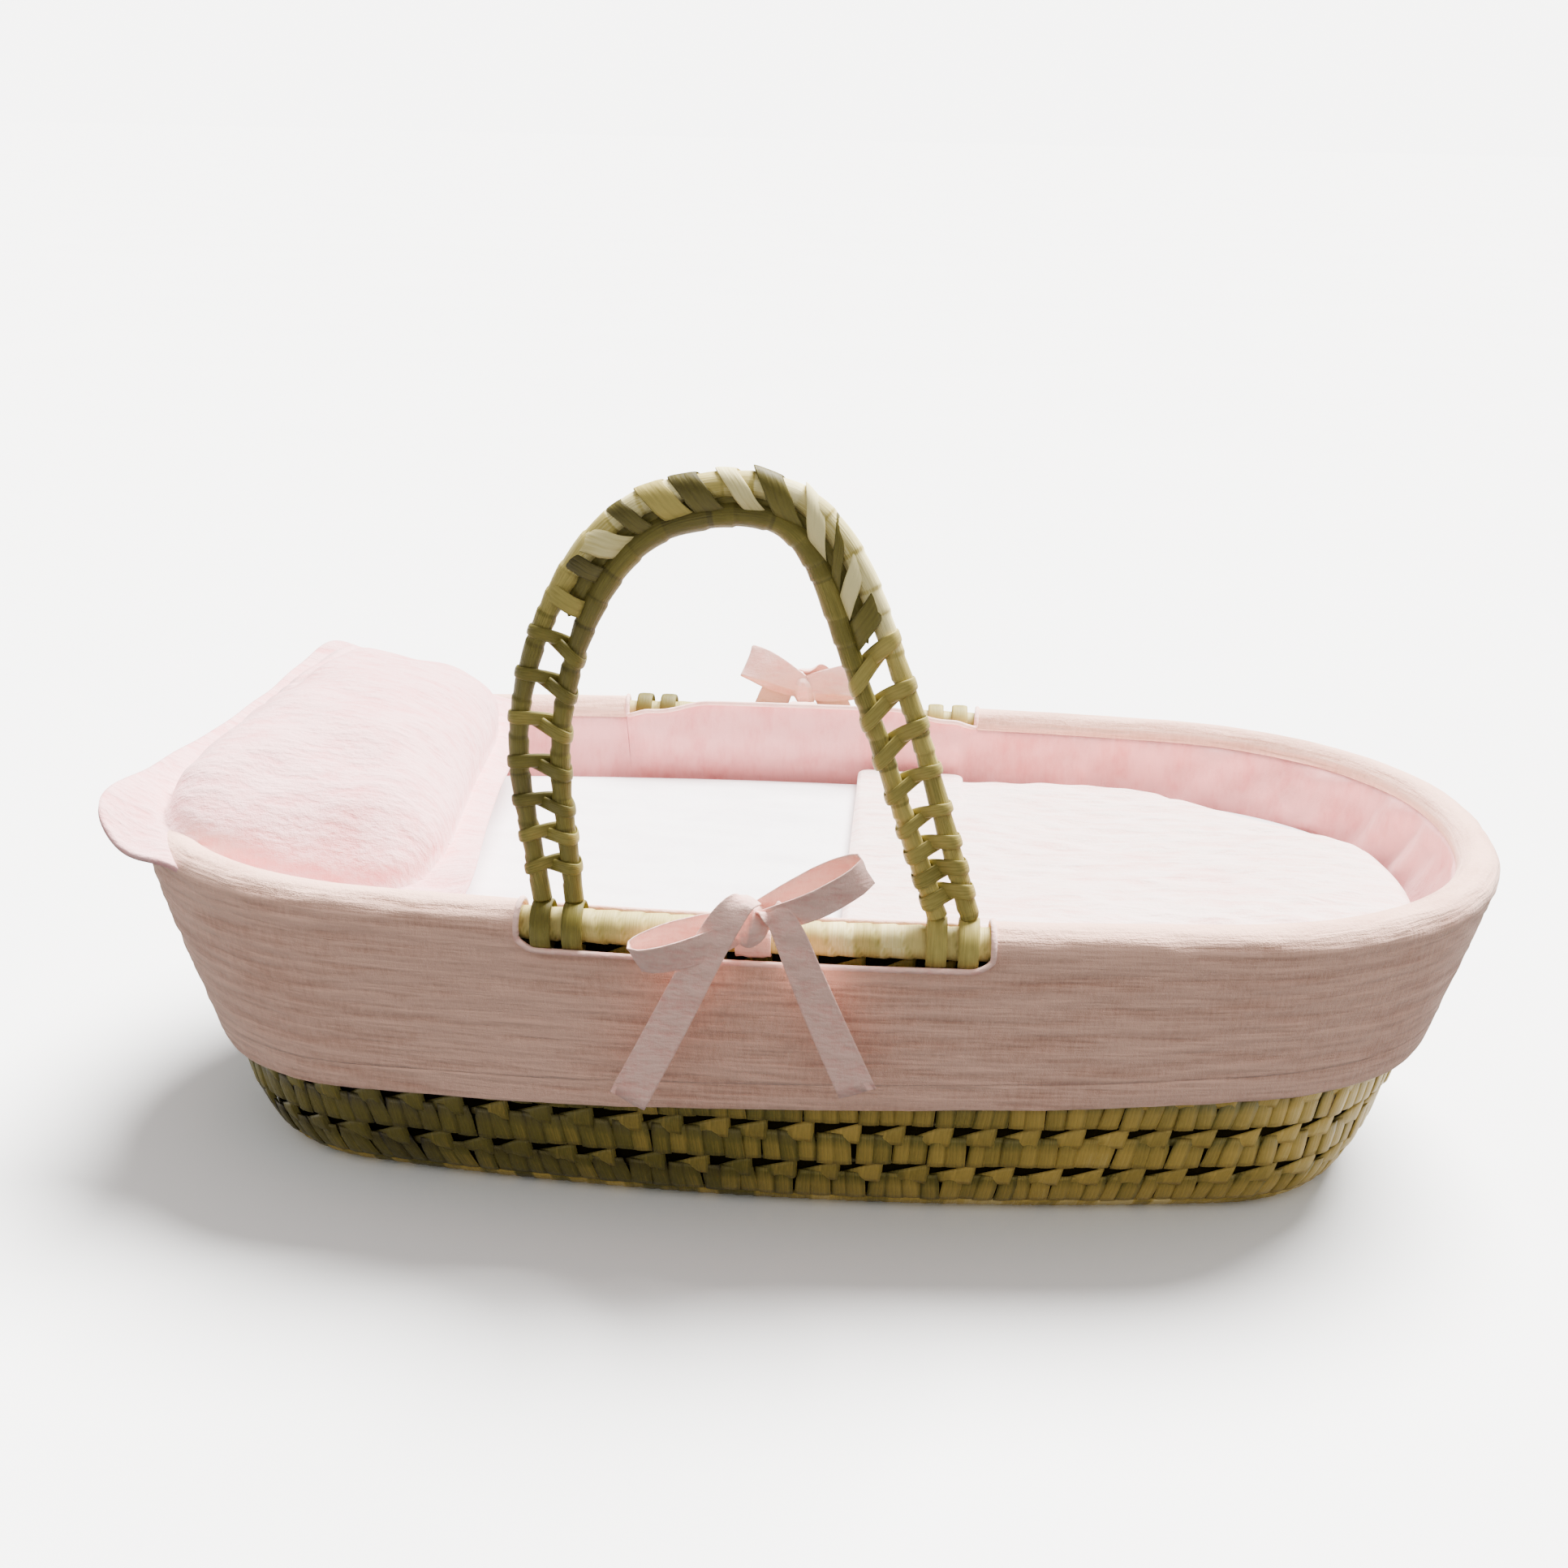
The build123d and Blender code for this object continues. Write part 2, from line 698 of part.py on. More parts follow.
def make_pillow_case():
    """The case with its flat flange, resting over the rim at its head corners."""
    with BuildPart() as case:
        with BuildSketch(pillow_plane(-pillow_flange_thickness / 2)):
            RectangleRounded(pillow_length, pillow_width, pillow_corner_radius)
        extrude(amount=pillow_flange_thickness)
        add(pillow_body(0))
        add(pillow_body(-pillow_case_thickness), mode=Mode.SUBTRACT)
        add(rim_saddle(), mode=Mode.SUBTRACT)
    return case.part


# ---- Build every piece and write it ----------------------------------------------------------------
os.makedirs("parts", exist_ok=True)
save(make_base_turn(base_turn_count), "base_middle")
for turn in range(base_turn_count):
    save(make_base_turn(turn), f"base_turn_{base_turn_count - turn}")
for course in range(course_count):
    save(make_wall_course(course), f"wall_course_{course + 1}")
save(make_sewing_cords(), "sewing_cords")
save(make_rim_core(), "rim_core")
save(make_rim_wrapping(), "rim_wrapping")
save(make_cover_lining(), "cover_lining")
save(make_cover_floor(), "cover_floor")
save(make_cover_rim_roll(), "cover_rim_roll")
save(make_cover_skirt(), "cover_skirt")
save(make_cover_hem(), "cover_hem")
for side, name, fold, angles in ((-1, "near", 0.0, near_loop_angles),
                                 (1, "far", far_handle_fold, far_loop_angles)):
    save(make_slot_piping(side), f"{name}_slot_piping")
    save(make_tie_wrap(side), f"{name}_tie_wrap")
    save(make_tie_knot(side), f"{name}_tie_knot")
    save(make_tie_loop(side, angles[0]), f"{name}_tie_left_loop")
    save(make_tie_loop(side, angles[1]), f"{name}_tie_right_loop")
    save(make_tie_tail(side, tail_spreads[0]), f"{name}_tie_left_tail")
    save(make_tie_tail(side, tail_spreads[1]), f"{name}_tie_right_tail")
    save(make_handle_cord(side, fold, 1), f"{name}_handle_outer_cord")
    save(make_handle_cord(side, fold, -1), f"{name}_handle_inner_cord")
    save(make_handle_links(side, fold), f"{name}_handle_links")
    save(make_handle_ties(side, fold), f"{name}_handle_ties")
save(make_mattress_firm_layer(), "mattress_firm_layer")
save(make_mattress_soft_layer(), "mattress_soft_layer")
save(make_mattress_sheet(), "mattress_sheet")
save(make_quilt(), "quilt")
save(make_quilt_cuff(), "quilt_cuff")
save(make_pillow_insert(), "pillow_insert")
save(make_pillow_case(), "pillow_case")
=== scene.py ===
"""A moses basket: sewn palm plait, a muslin cover tied with bows, two folding handles and its bedding.

Every length is in metres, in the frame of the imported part: +X runs to the foot end, -Y is the near side.
"""

import logging
import math
from dataclasses import dataclass, field
from enum import Enum
from typing import Callable

import bmesh
import bpy
import numpy as np
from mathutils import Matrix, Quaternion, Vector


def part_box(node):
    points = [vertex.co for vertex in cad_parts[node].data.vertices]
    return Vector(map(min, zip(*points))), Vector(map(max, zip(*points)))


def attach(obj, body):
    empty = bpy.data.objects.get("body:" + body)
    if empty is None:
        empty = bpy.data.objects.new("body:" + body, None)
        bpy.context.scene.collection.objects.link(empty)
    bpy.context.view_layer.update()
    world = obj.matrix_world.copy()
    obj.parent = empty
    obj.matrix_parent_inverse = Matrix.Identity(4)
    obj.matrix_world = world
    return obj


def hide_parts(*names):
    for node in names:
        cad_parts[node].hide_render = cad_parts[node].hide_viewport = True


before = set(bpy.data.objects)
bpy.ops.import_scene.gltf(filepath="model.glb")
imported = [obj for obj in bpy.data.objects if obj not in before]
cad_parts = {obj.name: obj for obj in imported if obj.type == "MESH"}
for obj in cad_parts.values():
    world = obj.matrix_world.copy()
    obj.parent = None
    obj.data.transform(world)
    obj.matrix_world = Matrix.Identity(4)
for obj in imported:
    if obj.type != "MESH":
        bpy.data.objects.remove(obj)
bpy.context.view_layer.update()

Array = np.ndarray
Colour = tuple[float, float, float]
Material = bpy.types.Material
Socket = bpy.types.NodeSocket
log = logging.getLogger("moses_basket")
MM = 0.001


class Side(Enum):
    """The side of the basket that a handle and a bow belong to."""

    NEAR = -1
    FAR = 1

    @property
    def word(self) -> str:
        """The side's name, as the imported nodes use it."""
        return self.name.lower()


class Strand(Enum):
    """A cord of a handle's arch."""

    OUTER = 1
    INNER = -1


# ---- Shapes ---------------------------------------------------------------------------------------


def ease(low: float | Array, high: float | Array, value: Array) -> Array:
    """A smooth step: 0 below low, 1 above high, and 3t^2 - 2t^3 between them.

    Args:
        low: where the step starts.
        high: where the step ends.
        value: the numbers to step.

    Returns:
        The stepped numbers, in the shape of value.
    """
    share = np.clip((value - low) / (high - low), 0, 1)
    return share * share * (3 - 2 * share)


def ripple(points: Array, wavelength: float, seed: int, squeeze: tuple[float, float, float] = (1, 1, 1),
           waves: int = 10) -> Array:
    """Smooth uneven relief of about -1 to 1: a sum of plane waves sin(k . p + phase) in random directions.

    Args:
        points: places to measure, with x, y, z last.
        wavelength: the usual distance between crests.
        seed: picks the directions and phases.
        squeeze: how many times closer the crests lie along x, y and z.
        waves: how many waves are summed.

    Returns:
        One number for each point.
    """
    draw = np.random.default_rng(seed)
    ways = draw.normal(size=(waves, 3))
    ways /= np.linalg.norm(ways, axis=1, keepdims=True)
    ways *= 2 * math.pi / (wavelength * draw.uniform(0.7, 1.5, (waves, 1))) * np.array(squeeze)
    return np.sin(points @ ways.T + draw.uniform(0, 2 * math.pi, waves)).sum(-1) / math.sqrt(waves)


def unit(vectors: Array) -> Array:
    """The vectors, each made one long."""
    return vectors / np.maximum(np.linalg.norm(vectors, axis=-1, keepdims=True), 1e-12)


def curve_through(corners: Array, count: int) -> Array:
    """A quadratic B-spline: straight first and last half runs, and a parabola round each corner between.

    Between the middles a and b of two runs that meet at corner c, the point is
    (1-t)^2 a + 2t(1-t) c + t^2 b.

    Args:
        corners: the control points, one a row.
        count: how many points to give back, evenly spaced along the curve.

    Returns:
        The points, count rows.
    """
    middles = (corners[1:] + corners[:-1]) / 2
    share = np.linspace(0, 1, 24)[None, :, None]
    starts, bends, ends = middles[:-1, None], corners[1:-1, None], middles[1:, None]
    arcs = (1 - share) ** 2 * starts + 2 * share * (1 - share) * bends + share**2 * ends
    line = np.concatenate([corners[:1], arcs.reshape(-1, corners.shape[1]), corners[-1:]])
    return evenly(line, count)


def evenly(line: Array, count: int) -> Array:
    """Points evenly spaced along a line of points, by straight interpolation of its running length."""
    run = running(line)
    wanted = np.linspace(0, run[-1], count)
    return np.stack([np.interp(wanted, run, line[:, axis]) for axis in range(line.shape[1])], -1)


def running(line: Array) -> Array:
    """The running length at each point of a line, from 0."""
    return np.concatenate([[0.0], np.cumsum(np.linalg.norm(np.diff(line, axis=0), axis=1))])


def smoothed(line: Array, width: int) -> Array:
    """A closed line of points, each averaged with its neighbours by a bell-shaped window of odd width."""
    weights = np.hanning(width) / np.hanning(width).sum()
    wrapped = np.concatenate([line[-(width // 2):], line, line[:width // 2]])
    return np.stack([np.convolve(wrapped[:, axis], weights, "valid") for axis in range(line.shape[1])], -1)


def turns(count: int) -> Array:
    """Angles evenly spaced over one turn, from 0."""
    return np.linspace(0, 2 * math.pi, count, endpoint=False)


def whole_way(count: int) -> Array:
    """Shares evenly spaced over the way round, from 0, as one row."""
    return np.linspace(0, 1, count, endpoint=False)[None, :]


def squared(wave: Array, power: float) -> Array:
    """A cosine or a sine made squarer: its sign times its size to a power under 1."""
    return np.sign(wave) * np.abs(wave) ** power


def saw(phase: Array, lap: float = 0.16) -> Array:
    """A lapped edge: rises slowly from 0 to 1 over each whole phase and drops back within the lap.

    Args:
        phase: runs of whole numbers, one a turn of leaf.
        lap: the share of a turn that the drop takes.

    Returns:
        The height of the lap, 0 to 1.
    """
    part = phase % 1.0
    return np.where(part < 1 - lap, part / (1 - lap), (1 - part) / lap)


def tube(line: Array, side_way: Array, radius: Callable[[Array, Array], Array], around: int = 16) -> Array:
    """A closed round skin along a line: centre + radius * (cos a * side + sin a * up), with pointed ends.

    Args:
        line: the points of the line.
        side_way: one direction, or one for each point, across the line.
        radius: gives the radius from the running length and the angle round.
        around: how many points lie round the line.

    Returns:
        A grid of points, rows along the line and columns round it.
    """
    tangent = unit(np.gradient(line, axis=0))
    side_way = unit(side_way - (side_way * tangent).sum(-1, keepdims=True) * tangent)
    up = np.cross(tangent, side_way)
    angle = turns(around)
    size = radius(running(line)[:, None], angle[None, :])[..., None]
    ring = np.cos(angle)[None, :, None] * side_way[:, None] + np.sin(angle)[None, :, None] * up[:, None]
    skin = line[:, None] + size * ring
    return np.concatenate([np.repeat(line[:1, None], around, 1), skin, np.repeat(line[-1:, None], around, 1)])


def bands(centre: Array, across: Array, through: Array, width: Array, thick: Array) -> Array:
    """Flat leaf bands round closed lines, with a section of width * cos^0.7 a by thick * sin a.

    Args:
        centre: (bands, points, 3) middle lines.
        across: directions of the bands' width.
        through: directions of their thickness.
        width: half widths, one for each band or point, with two more axes of one.
        thick: half thicknesses, in the same form.

    Returns:
        (bands, points, 12, 3) points.
    """
    cos, sin = squared(np.cos(turns(12)), 0.7), np.sin(turns(12))
    return (centre[:, :, None] + width * cos[:, None] * across[:, :, None]
            + thick * sin[:, None] * through[:, :, None])


@dataclass
class Patchwork:
    """Grids of points that become one mesh, with a tone for each patch and a UV map in metres."""

    points: list[Array] = field(default_factory=list)
    faces: list[Array] = field(default_factory=list)
    charts: list[Array] = field(default_factory=list)
    tones: list[Array] = field(default_factory=list)
    count: int = 0

    def add(self, grids: Array, extent: tuple[float, float], ring: bool = False, hoop: bool = False,
            tone: float | Array = 0.5) -> "Patchwork":
        """Add one grid, or a batch of equal grids.

        Args:
            grids: (rows, columns, 3) or (patches, rows, columns, 3) points.
            extent: the patch's width over its columns and length over its rows, for the UV map.
            ring: whether the last column joins the first.
            hoop: whether the last row joins the first.
            tone: one number for all, one for each patch, or one for each point.

        Returns:
            This patchwork.
        """
        grids = grids if grids.ndim == 4 else grids[None]
        patches, rows, columns, _ = grids.shape
        down = np.arange(rows if hoop else rows - 1)[:, None]
        over = np.arange(columns if ring else columns - 1)[None, :]
        corners = [(down, over), (down, over + 1), (down + 1, over + 1), (down + 1, over)]
        quads = np.stack([(i % rows) * columns + j % columns + 0 * (down + over) for i, j in corners], -1)
        chart = np.stack([np.stack([j / columns * extent[0] + 0 * down, i / rows * extent[1] + 0 * over], -1)
                          for i, j in corners], -2)
        shift = (np.arange(patches) * rows * columns)[:, None, None] + self.count
        self.faces.append((quads.reshape(1, -1, 4) + shift).reshape(-1, 4))
        self.charts.append(np.tile(chart.reshape(-1, 2), (patches, 1)))
        tone = np.asarray(tone, float)
        tone = tone[:, None, None] if tone.ndim == 1 else tone
        self.tones.append(np.broadcast_to(tone, (patches, rows, columns)).ravel())
        self.points.append(grids.reshape(-1, 3))
        self.count += patches * rows * columns
        return self

    def mesh(self, name: str) -> bpy.types.Mesh:
        """Make the mesh, with its points that lie together joined and its faces pointing outwards."""
        mesh = bpy.data.meshes.new(name)
        mesh.from_pydata(np.concatenate(self.points), [], np.concatenate(self.faces))
        mesh.uv_layers.new(name="leaf").uv.foreach_set("vector", np.concatenate(self.charts).ravel())
        tones = np.concatenate(self.tones).astype(np.float32)
        mesh.attributes.new("tone", "FLOAT", "POINT").data.foreach_set("value", tones)
        work = bmesh.new()
        work.from_mesh(mesh)
        bmesh.ops.remove_doubles(work, verts=work.verts, dist=1e-6)
        bmesh.ops.recalc_face_normals(work, faces=work.faces)
        work.to_mesh(mesh)
        work.free()
        mesh.shade_smooth()
        return mesh


def linked(name: str, data: bpy.types.ID) -> bpy.types.Object:
    """A new object of that data, linked to the scene."""
    made = bpy.data.objects.new(name, data)
    bpy.context.scene.collection.objects.link(made)
    return made


@dataclass(frozen=True)
class Piece:
    """How a finished mesh joins the frame: its name, the nodes it stands for and its body. Its slot is not
    used.
    """

    name: str
    body: str
    slot: str
    nodes: tuple[str, ...] = ()

    def place(self, work: Patchwork, finish: Material, wall: float = 0.0,
              offset: float = 0.0) -> bpy.types.Object:
        """Make the object at the origin, dress it and let it ride on its body.

        Args:
            work: the grids of the piece.
            finish: its material.
            wall: the thickness that a sheet is given.
            offset: which side of the sheet the wall grows on, from -1 to 1.

        Returns:
            The finished object.
        """
        made = linked(self.name, work.mesh(self.name))
        made.data.materials.append(finish)
        if wall > 0:
            solid = made.modifiers.new("wall", "SOLIDIFY")
            solid.thickness, solid.offset, solid.use_even_offset = wall, offset, False
        if self.nodes:
            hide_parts(*self.nodes)
        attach(made, self.body)
        nodes = ", ".join(self.nodes) or "itself"
        log.info("%s: %d faces, for %s", self.name, len(made.data.polygons), nodes)
        return made

    def skin(self, grid: Array, extent: tuple[float, float], finish: Material,
             hoop: bool = False) -> bpy.types.Object:
        """Place a piece made of one grid, closed round its columns and, with hoop, round its rows."""
        return self.place(Patchwork().add(grid, extent, ring=True, hoop=hoop), finish)


@dataclass(frozen=True)
class WallForm:
    """The leaning oval wall. Every level is an oval of eight tangent arcs, given as half length, half
    width, side radius, end radius and corner radius, and the levels between base and rim are blends."""

    base: tuple[float, ...] = (0.340, 0.166, 1.500, 0.230, 0.090)
    rim: tuple[float, ...] = (0.402, 0.212, 2.000, 0.280, 0.185)
    rim_height: float = 0.186
    plait_thickness: float = 0.009

    def oval(self, height: Array) -> tuple[Array, ...]:
        """The oval at a height. Its corner's centre is where two circles meet: one about the side's
        centre and one about the end's, each with the difference of that radius and the corner's.

        Args:
            height: height above the ground.

        Returns:
            Side, end and corner radius, the side centre's y, the end centre's x, the corner centre's x
            and y, and the normal's direction where the end arc stops and where the side arc starts.
        """
        share = np.asarray(height / self.rim_height, float)
        pairs = zip(self.base, self.rim)
        length, width, side, end, corner = (low + (high - low) * share for low, high in pairs)
        side_y, end_x = width - side, length - end
        to_side, to_end = side - corner, end - corner
        span = np.hypot(end_x, side_y)
        along = (to_side**2 - to_end**2 + span**2) / (2 * span)
        across = np.sqrt(to_side**2 - along**2)
        over, up = end_x / span, -side_y / span
        x, y = over * along + up * across, side_y + up * along - over * across
        return side, end, corner, side_y, end_x, x, y, np.arctan2(y, x - end_x), np.arctan2(y - side_y, x)

    def foot(self, share: Array, height: Array) -> tuple[Array, Array]:
        """Points on the middle of the wall and its outward normals.

        Shares run evenly round each level, from the foot end by the far side. A quarter's run falls on
        its end, corner or side arc, where the point is centre + radius * normal; the quarters mirror it.

        Args:
            share: share of the way round.
            height: height above the ground.

        Returns:
            Points and normals with x, y, z last.
        """
        side, end, corner, side_y, end_x, middle_x, middle_y, first, last = self.oval(height)
        quarter = np.floor(share * 4)
        back = quarter % 2 == 1
        part = np.where(back, quarter + 1 - share * 4, share * 4 - quarter)
        end_run, corner_run = end * first, corner * (last - first)
        run = part * (end_run + corner_run + side * (math.pi / 2 - last))
        on_corner, on_side = run > end_run, run > end_run + corner_run
        turn = np.where(on_corner, first + (run - end_run) / corner, run / end)
        turn = np.where(on_side, last + (run - end_run - corner_run) / side, turn)
        cos, sin = np.cos(turn), np.sin(turn)
        x = np.where(on_side, side * cos, np.where(on_corner, middle_x + corner * cos, end_x + end * cos))
        y = np.where(on_side, side_y + side * sin, np.where(on_corner, middle_y + corner * sin, end * sin))
        flip_x = np.where((quarter % 4 == 1) | (quarter % 4 == 2), -1, 1)
        flip_y = np.where(quarter % 4 >= 2, -1, 1)
        points = np.stack(np.broadcast_arrays(flip_x * x, flip_y * y, height + 0 * x), -1)
        return points, np.stack([flip_x * cos, flip_y * sin, 0 * cos], -1)

    def point(self, share: Array, height: Array, out: Array) -> Array:
        """Points at shares of the way round, heights, and distances outwards from the wall's middle."""
        points, normals = self.foot(share, height)
        return points + np.asarray(out)[..., None] * normals

    def round(self, height: float, out: float = 0.0) -> float:
        """Distance round the wall at a height."""
        return float(running(self.point(np.linspace(0, 1, 721), height, out))[-1])

    def share_at(self, x: Array, side: Side) -> Array:
        """Share of the way round where the rim passes x on one of the long sides."""
        radius, end, corner, _, _, _, _, first, last = self.oval(self.rim_height)
        run = end * first + corner * (last - first) + radius * (np.arccos(np.abs(x) / radius) - last)
        part = run / (end * first + corner * (last - first) + radius * (math.pi / 2 - last))
        if side is Side.NEAR:
            return np.where(x < 0, 2 + part, 4 - part) / 4
        return np.where(x < 0, 2 - part, part) / 4


# ---- Finishes -------------------------------------------------------------------------------------


class Graph:
    """A material's nodes, built one call at a time."""

    def __init__(self, name: str) -> None:
        """Start a material of that name with an empty node tree."""
        self.material = bpy.data.materials.new(name)
        self.material.use_nodes = True
        self.tree = self.material.node_tree
        self.tree.nodes.clear()

    def node(self, kind: str, settings: dict | None = None, **inputs: object) -> bpy.types.Node:
        """Add a node.

        Args:
            kind: the node's type, without its ShaderNode prefix.
            settings: properties of the node itself.
            inputs: socket names, spaces as underscores, or at and a number, with a value or the socket
                to link.

        Returns:
            The node.
        """
        made = self.tree.nodes.new("ShaderNode" + kind)
        for key, value in (settings or {}).items():
            setattr(made, key, value)
        for key, value in inputs.items():
            name = key.replace("_", " ")
            socket = made.inputs[int(name[2:])] if name.startswith("at") else made.inputs[name]
            if isinstance(value, Socket):
                self.tree.links.new(value, socket)
            else:
                socket.default_value = value
        return made

    def ramp(self, source: Socket, *stops: tuple[float, Colour]) -> Socket:
        """Turn a number into a colour by a ramp.

        Args:
            source: the number.
            stops: place and colour of each stop.

        Returns:
            The colour's socket.
        """
        made = self.node("ValToRGB", Fac=source)
        band = made.color_ramp.elements
        while len(band) < len(stops):
            band.new(0.5)
        for element, (place, colour) in zip(band, stops):
            element.position, element.color = place, (*colour, 1)
        return made.outputs[0]

    def scaled(self, source: Socket, scale: tuple[float, float, float]) -> Socket:
        """Coordinates stretched by a scale on each axis."""
        return self.node("Mapping", Vector=source, Scale=scale).outputs[0]

    def noise(self, source: Socket, scale: float, detail: float = 3.0) -> Socket:
        """Smooth noise, 0 to 1."""
        return self.node("TexNoise", Vector=source, Scale=scale, Detail=detail).outputs[0]

    def sums(self, *parts: tuple[Socket, float]) -> Socket:
        """A weighted sum of numbers."""
        (first, share), *others = parts
        total = self.node("Math", {"operation": "MULTIPLY"}, at0=first, at1=share).outputs[0]
        for source, weight in others:
            step = self.node("Math", {"operation": "MULTIPLY_ADD"}, at0=source, at1=weight, at2=total)
            total = step.outputs[0]
        return total

    def surface(self, colour: Socket, relief: Socket, depth: float, rough: float,
                sheen: float = 0.0, gloss: float = 0.4) -> Material:
        """Finish with a principled shader.

        Args:
            colour: the base colour.
            relief: the bump's height, 0 to 1.
            depth: what a height of 1 stands for, in metres.
            rough: roughness.
            sheen: weight of the soft sheen of cloth.
            gloss: specular level.

        Returns:
            The material.
        """
        bump = self.node("Bump", Height=relief, Distance=depth, Strength=1.0)
        shader = self.node("BsdfPrincipled", Base_Color=colour, Normal=bump.outputs[0], Roughness=rough,
                           Sheen_Weight=sheen, Specular_IOR_Level=gloss)
        self.node("OutputMaterial", Surface=shader.outputs[0])
        return self.material


@dataclass(frozen=True)
class PalmLeaf:
    """Dried palm leaf: fibres run along each strip, and strips differ from green to straw. Slope is how
    much paler it is painted a metre towards the foot end: painted light where the key light falls, painted
    shade towards the head end."""

    name: str = "palm_leaf"
    shade: Colour = (0.012, 0.008, 0.002)
    green: Colour = (0.110, 0.090, 0.014)
    straw: Colour = (0.470, 0.320, 0.070)
    pale: Colour = (0.640, 0.480, 0.180)
    gloss: float = 0.22
    slope: float = 0.55

    def make(self) -> Material:
        """Build the material: the tone attribute and broad noise pick the colour, fine noise the fibres."""
        graph = Graph(self.name)
        place = graph.node("TexCoord").outputs["Object"]
        leaf = graph.node("UVMap", {"uv_map": "leaf"}).outputs[0]
        tone = graph.node("Attribute", {"attribute_name": "tone"}).outputs["Fac"]
        fibres = graph.noise(graph.scaled(leaf, (1400, 40, 1)), 1.0, 5.0)
        patches = graph.noise(place, 14.0)
        blotch = graph.noise(graph.scaled(leaf, (160, 30, 1)), 1.0)
        # along: x towards the foot end; weighted by the slope it paints light on the foot end and shade on the
        # head end
        along = graph.node("SeparateXYZ", Vector=place).outputs[0]
        mixed = graph.sums((tone, 0.72), (patches, 0.24), (fibres, 0.26), (blotch, 0.22), (along, self.slope))
        colour = graph.ramp(
            mixed, (0.28, self.shade), (0.60, self.green), (0.86, self.straw), (1.0, self.pale))
        relief = graph.sums((fibres, 0.7), (blotch, 0.3))
        return graph.surface(colour, relief, 0.0006, 0.52, gloss=self.gloss)


@dataclass(frozen=True)
class Gauze:
    """Crinkled cotton gauze: short crinkles that run mostly one way, over a fine weave."""

    name: str
    light: Colour
    dark: Colour
    crinkle: tuple[float, float, float] = (11, 11, 150)
    depth: float = 0.0045
    weave: float = 1500.0

    def make(self) -> Material:
        """Build the material: two crinkle noises and a crossed weave shade and lift the cloth."""
        graph = Graph(self.name)
        place = graph.node("TexCoord").outputs["Object"]
        long_folds = graph.noise(graph.scaled(place, self.crinkle), 1.0, 4.0)
        fine_folds = graph.noise(graph.scaled(place, tuple(2.4 * x for x in self.crinkle)), 1.0, 3.0)
        clouds = graph.noise(place, 9.0, 2.0)
        threads = graph.noise(place, self.weave, 1.0)
        slubs = graph.noise(graph.scaled(place, (420, 420, 70)), 1.0, 2.0)
        shade = graph.sums(
            (long_folds, 0.42), (fine_folds, 0.30), (clouds, 0.20), (threads, 0.10), (slubs, 0.16))
        colour = graph.ramp(shade, (0.44, self.dark), (0.62, self.light))
        relief = graph.sums((long_folds, 0.5), (fine_folds, 0.3), (threads, 0.08), (slubs, 0.12))
        return graph.surface(colour, relief, self.depth, 0.9, sheen=0.25, gloss=0.15)


@dataclass(frozen=True)
class Foam:
    """Open-cell foam or wadding, inside the bedding."""

    name: str
    light: Colour
    dark: Colour
    cell: float = 420.0

    def make(self) -> Material:
        """Build the material: round cells, darker in their middles."""
        graph = Graph(self.name)
        place = graph.node("TexCoord").outputs["Object"]
        cells = graph.node("TexVoronoi", Vector=place, Scale=self.cell).outputs["Distance"]
        clouds = graph.noise(place, 30.0)
        colour = graph.ramp(graph.sums((cells, 0.7), (clouds, 0.4)), (0.1, self.dark), (0.6, self.light))
        return graph.surface(colour, cells, 0.0008, 0.95)


def dye(finish: PalmLeaf | Gauze | Foam) -> Material:
    """A palette's field that makes the finish's material when the palette is made."""
    return field(default_factory=finish.make)


@dataclass
class Palette:
    """Every finish of the basket, made once."""

    palm: Material = dye(PalmLeaf())
    stalks: Material = dye(PalmLeaf("palm_stalks"))
    # palm_winding: its pale stop carries the painted highlight on the sunlit outer cord and pale lashings of
    # the grip.
    winding: Material = dye(PalmLeaf(
        "palm_winding", shade=(0.020, 0.015, 0.003), green=(0.150, 0.125, 0.024), straw=(0.520, 0.420, 0.120),
        pale=(0.930, 0.820, 0.400), gloss=0.15, slope=0.8))
    # Near-black leaf for the plait's inner ply: painted shade inside the windows.
    inside: Material = dye(PalmLeaf(
        "palm_painted_shade", shade=(0.003, 0.002, 0.001), green=(0.016, 0.012, 0.003), straw=(0.040, 0.028, 0.008),
        pale=(0.060, 0.040, 0.010), gloss=0.0))
    coil: Material = dye(PalmLeaf(
        "palm_coil", shade=(0.120, 0.085, 0.015), green=(0.380, 0.310, 0.080), straw=(0.640, 0.520, 0.190),
        pale=(0.820, 0.720, 0.340), slope=0.1))
    # The skirt and hem are the lining's muslin painted darker and browner: painted shade, as the outside of
    # the cover faces away from the key light.
    skirt: Material = dye(Gauze("muslin_outside_shaded", (0.920, 0.560, 0.430), (0.620, 0.330, 0.240)))
    lining: Material = dye(Gauze(
        "muslin_lining", (0.970, 0.460, 0.450), (0.860, 0.320, 0.310), (50, 50, 30), 0.0026))
    ribbon: Material = dye(Gauze(
        "muslin_ribbon", (0.980, 0.630, 0.540), (0.900, 0.460, 0.390), (60, 60, 170), 0.0026))
    sheet: Material = dye(Gauze(
        "cotton_sheet", (0.930, 0.900, 0.910), (0.860, 0.820, 0.840), (22, 22, 22), 0.0016))
    quilt: Material = dye(Gauze(
        "cotton_quilt", (0.950, 0.760, 0.710), (0.900, 0.540, 0.490), (26, 110, 60), 0.0040))
    pillow: Material = dye(Gauze(
        "cotton_pillow", (0.970, 0.570, 0.560), (0.910, 0.370, 0.370), (40, 110, 60), 0.0042))
    foam: Material = dye(Foam("mattress_foam", (0.80, 0.74, 0.55), (0.6, 0.5, 0.3)))
    wadding: Material = dye(Foam("pillow_wadding", (0.9, 0.9, 0.88), (0.75, 0.75, 0.72), 180.0))


# ---- Plait ----------------------------------------------------------------------------------------


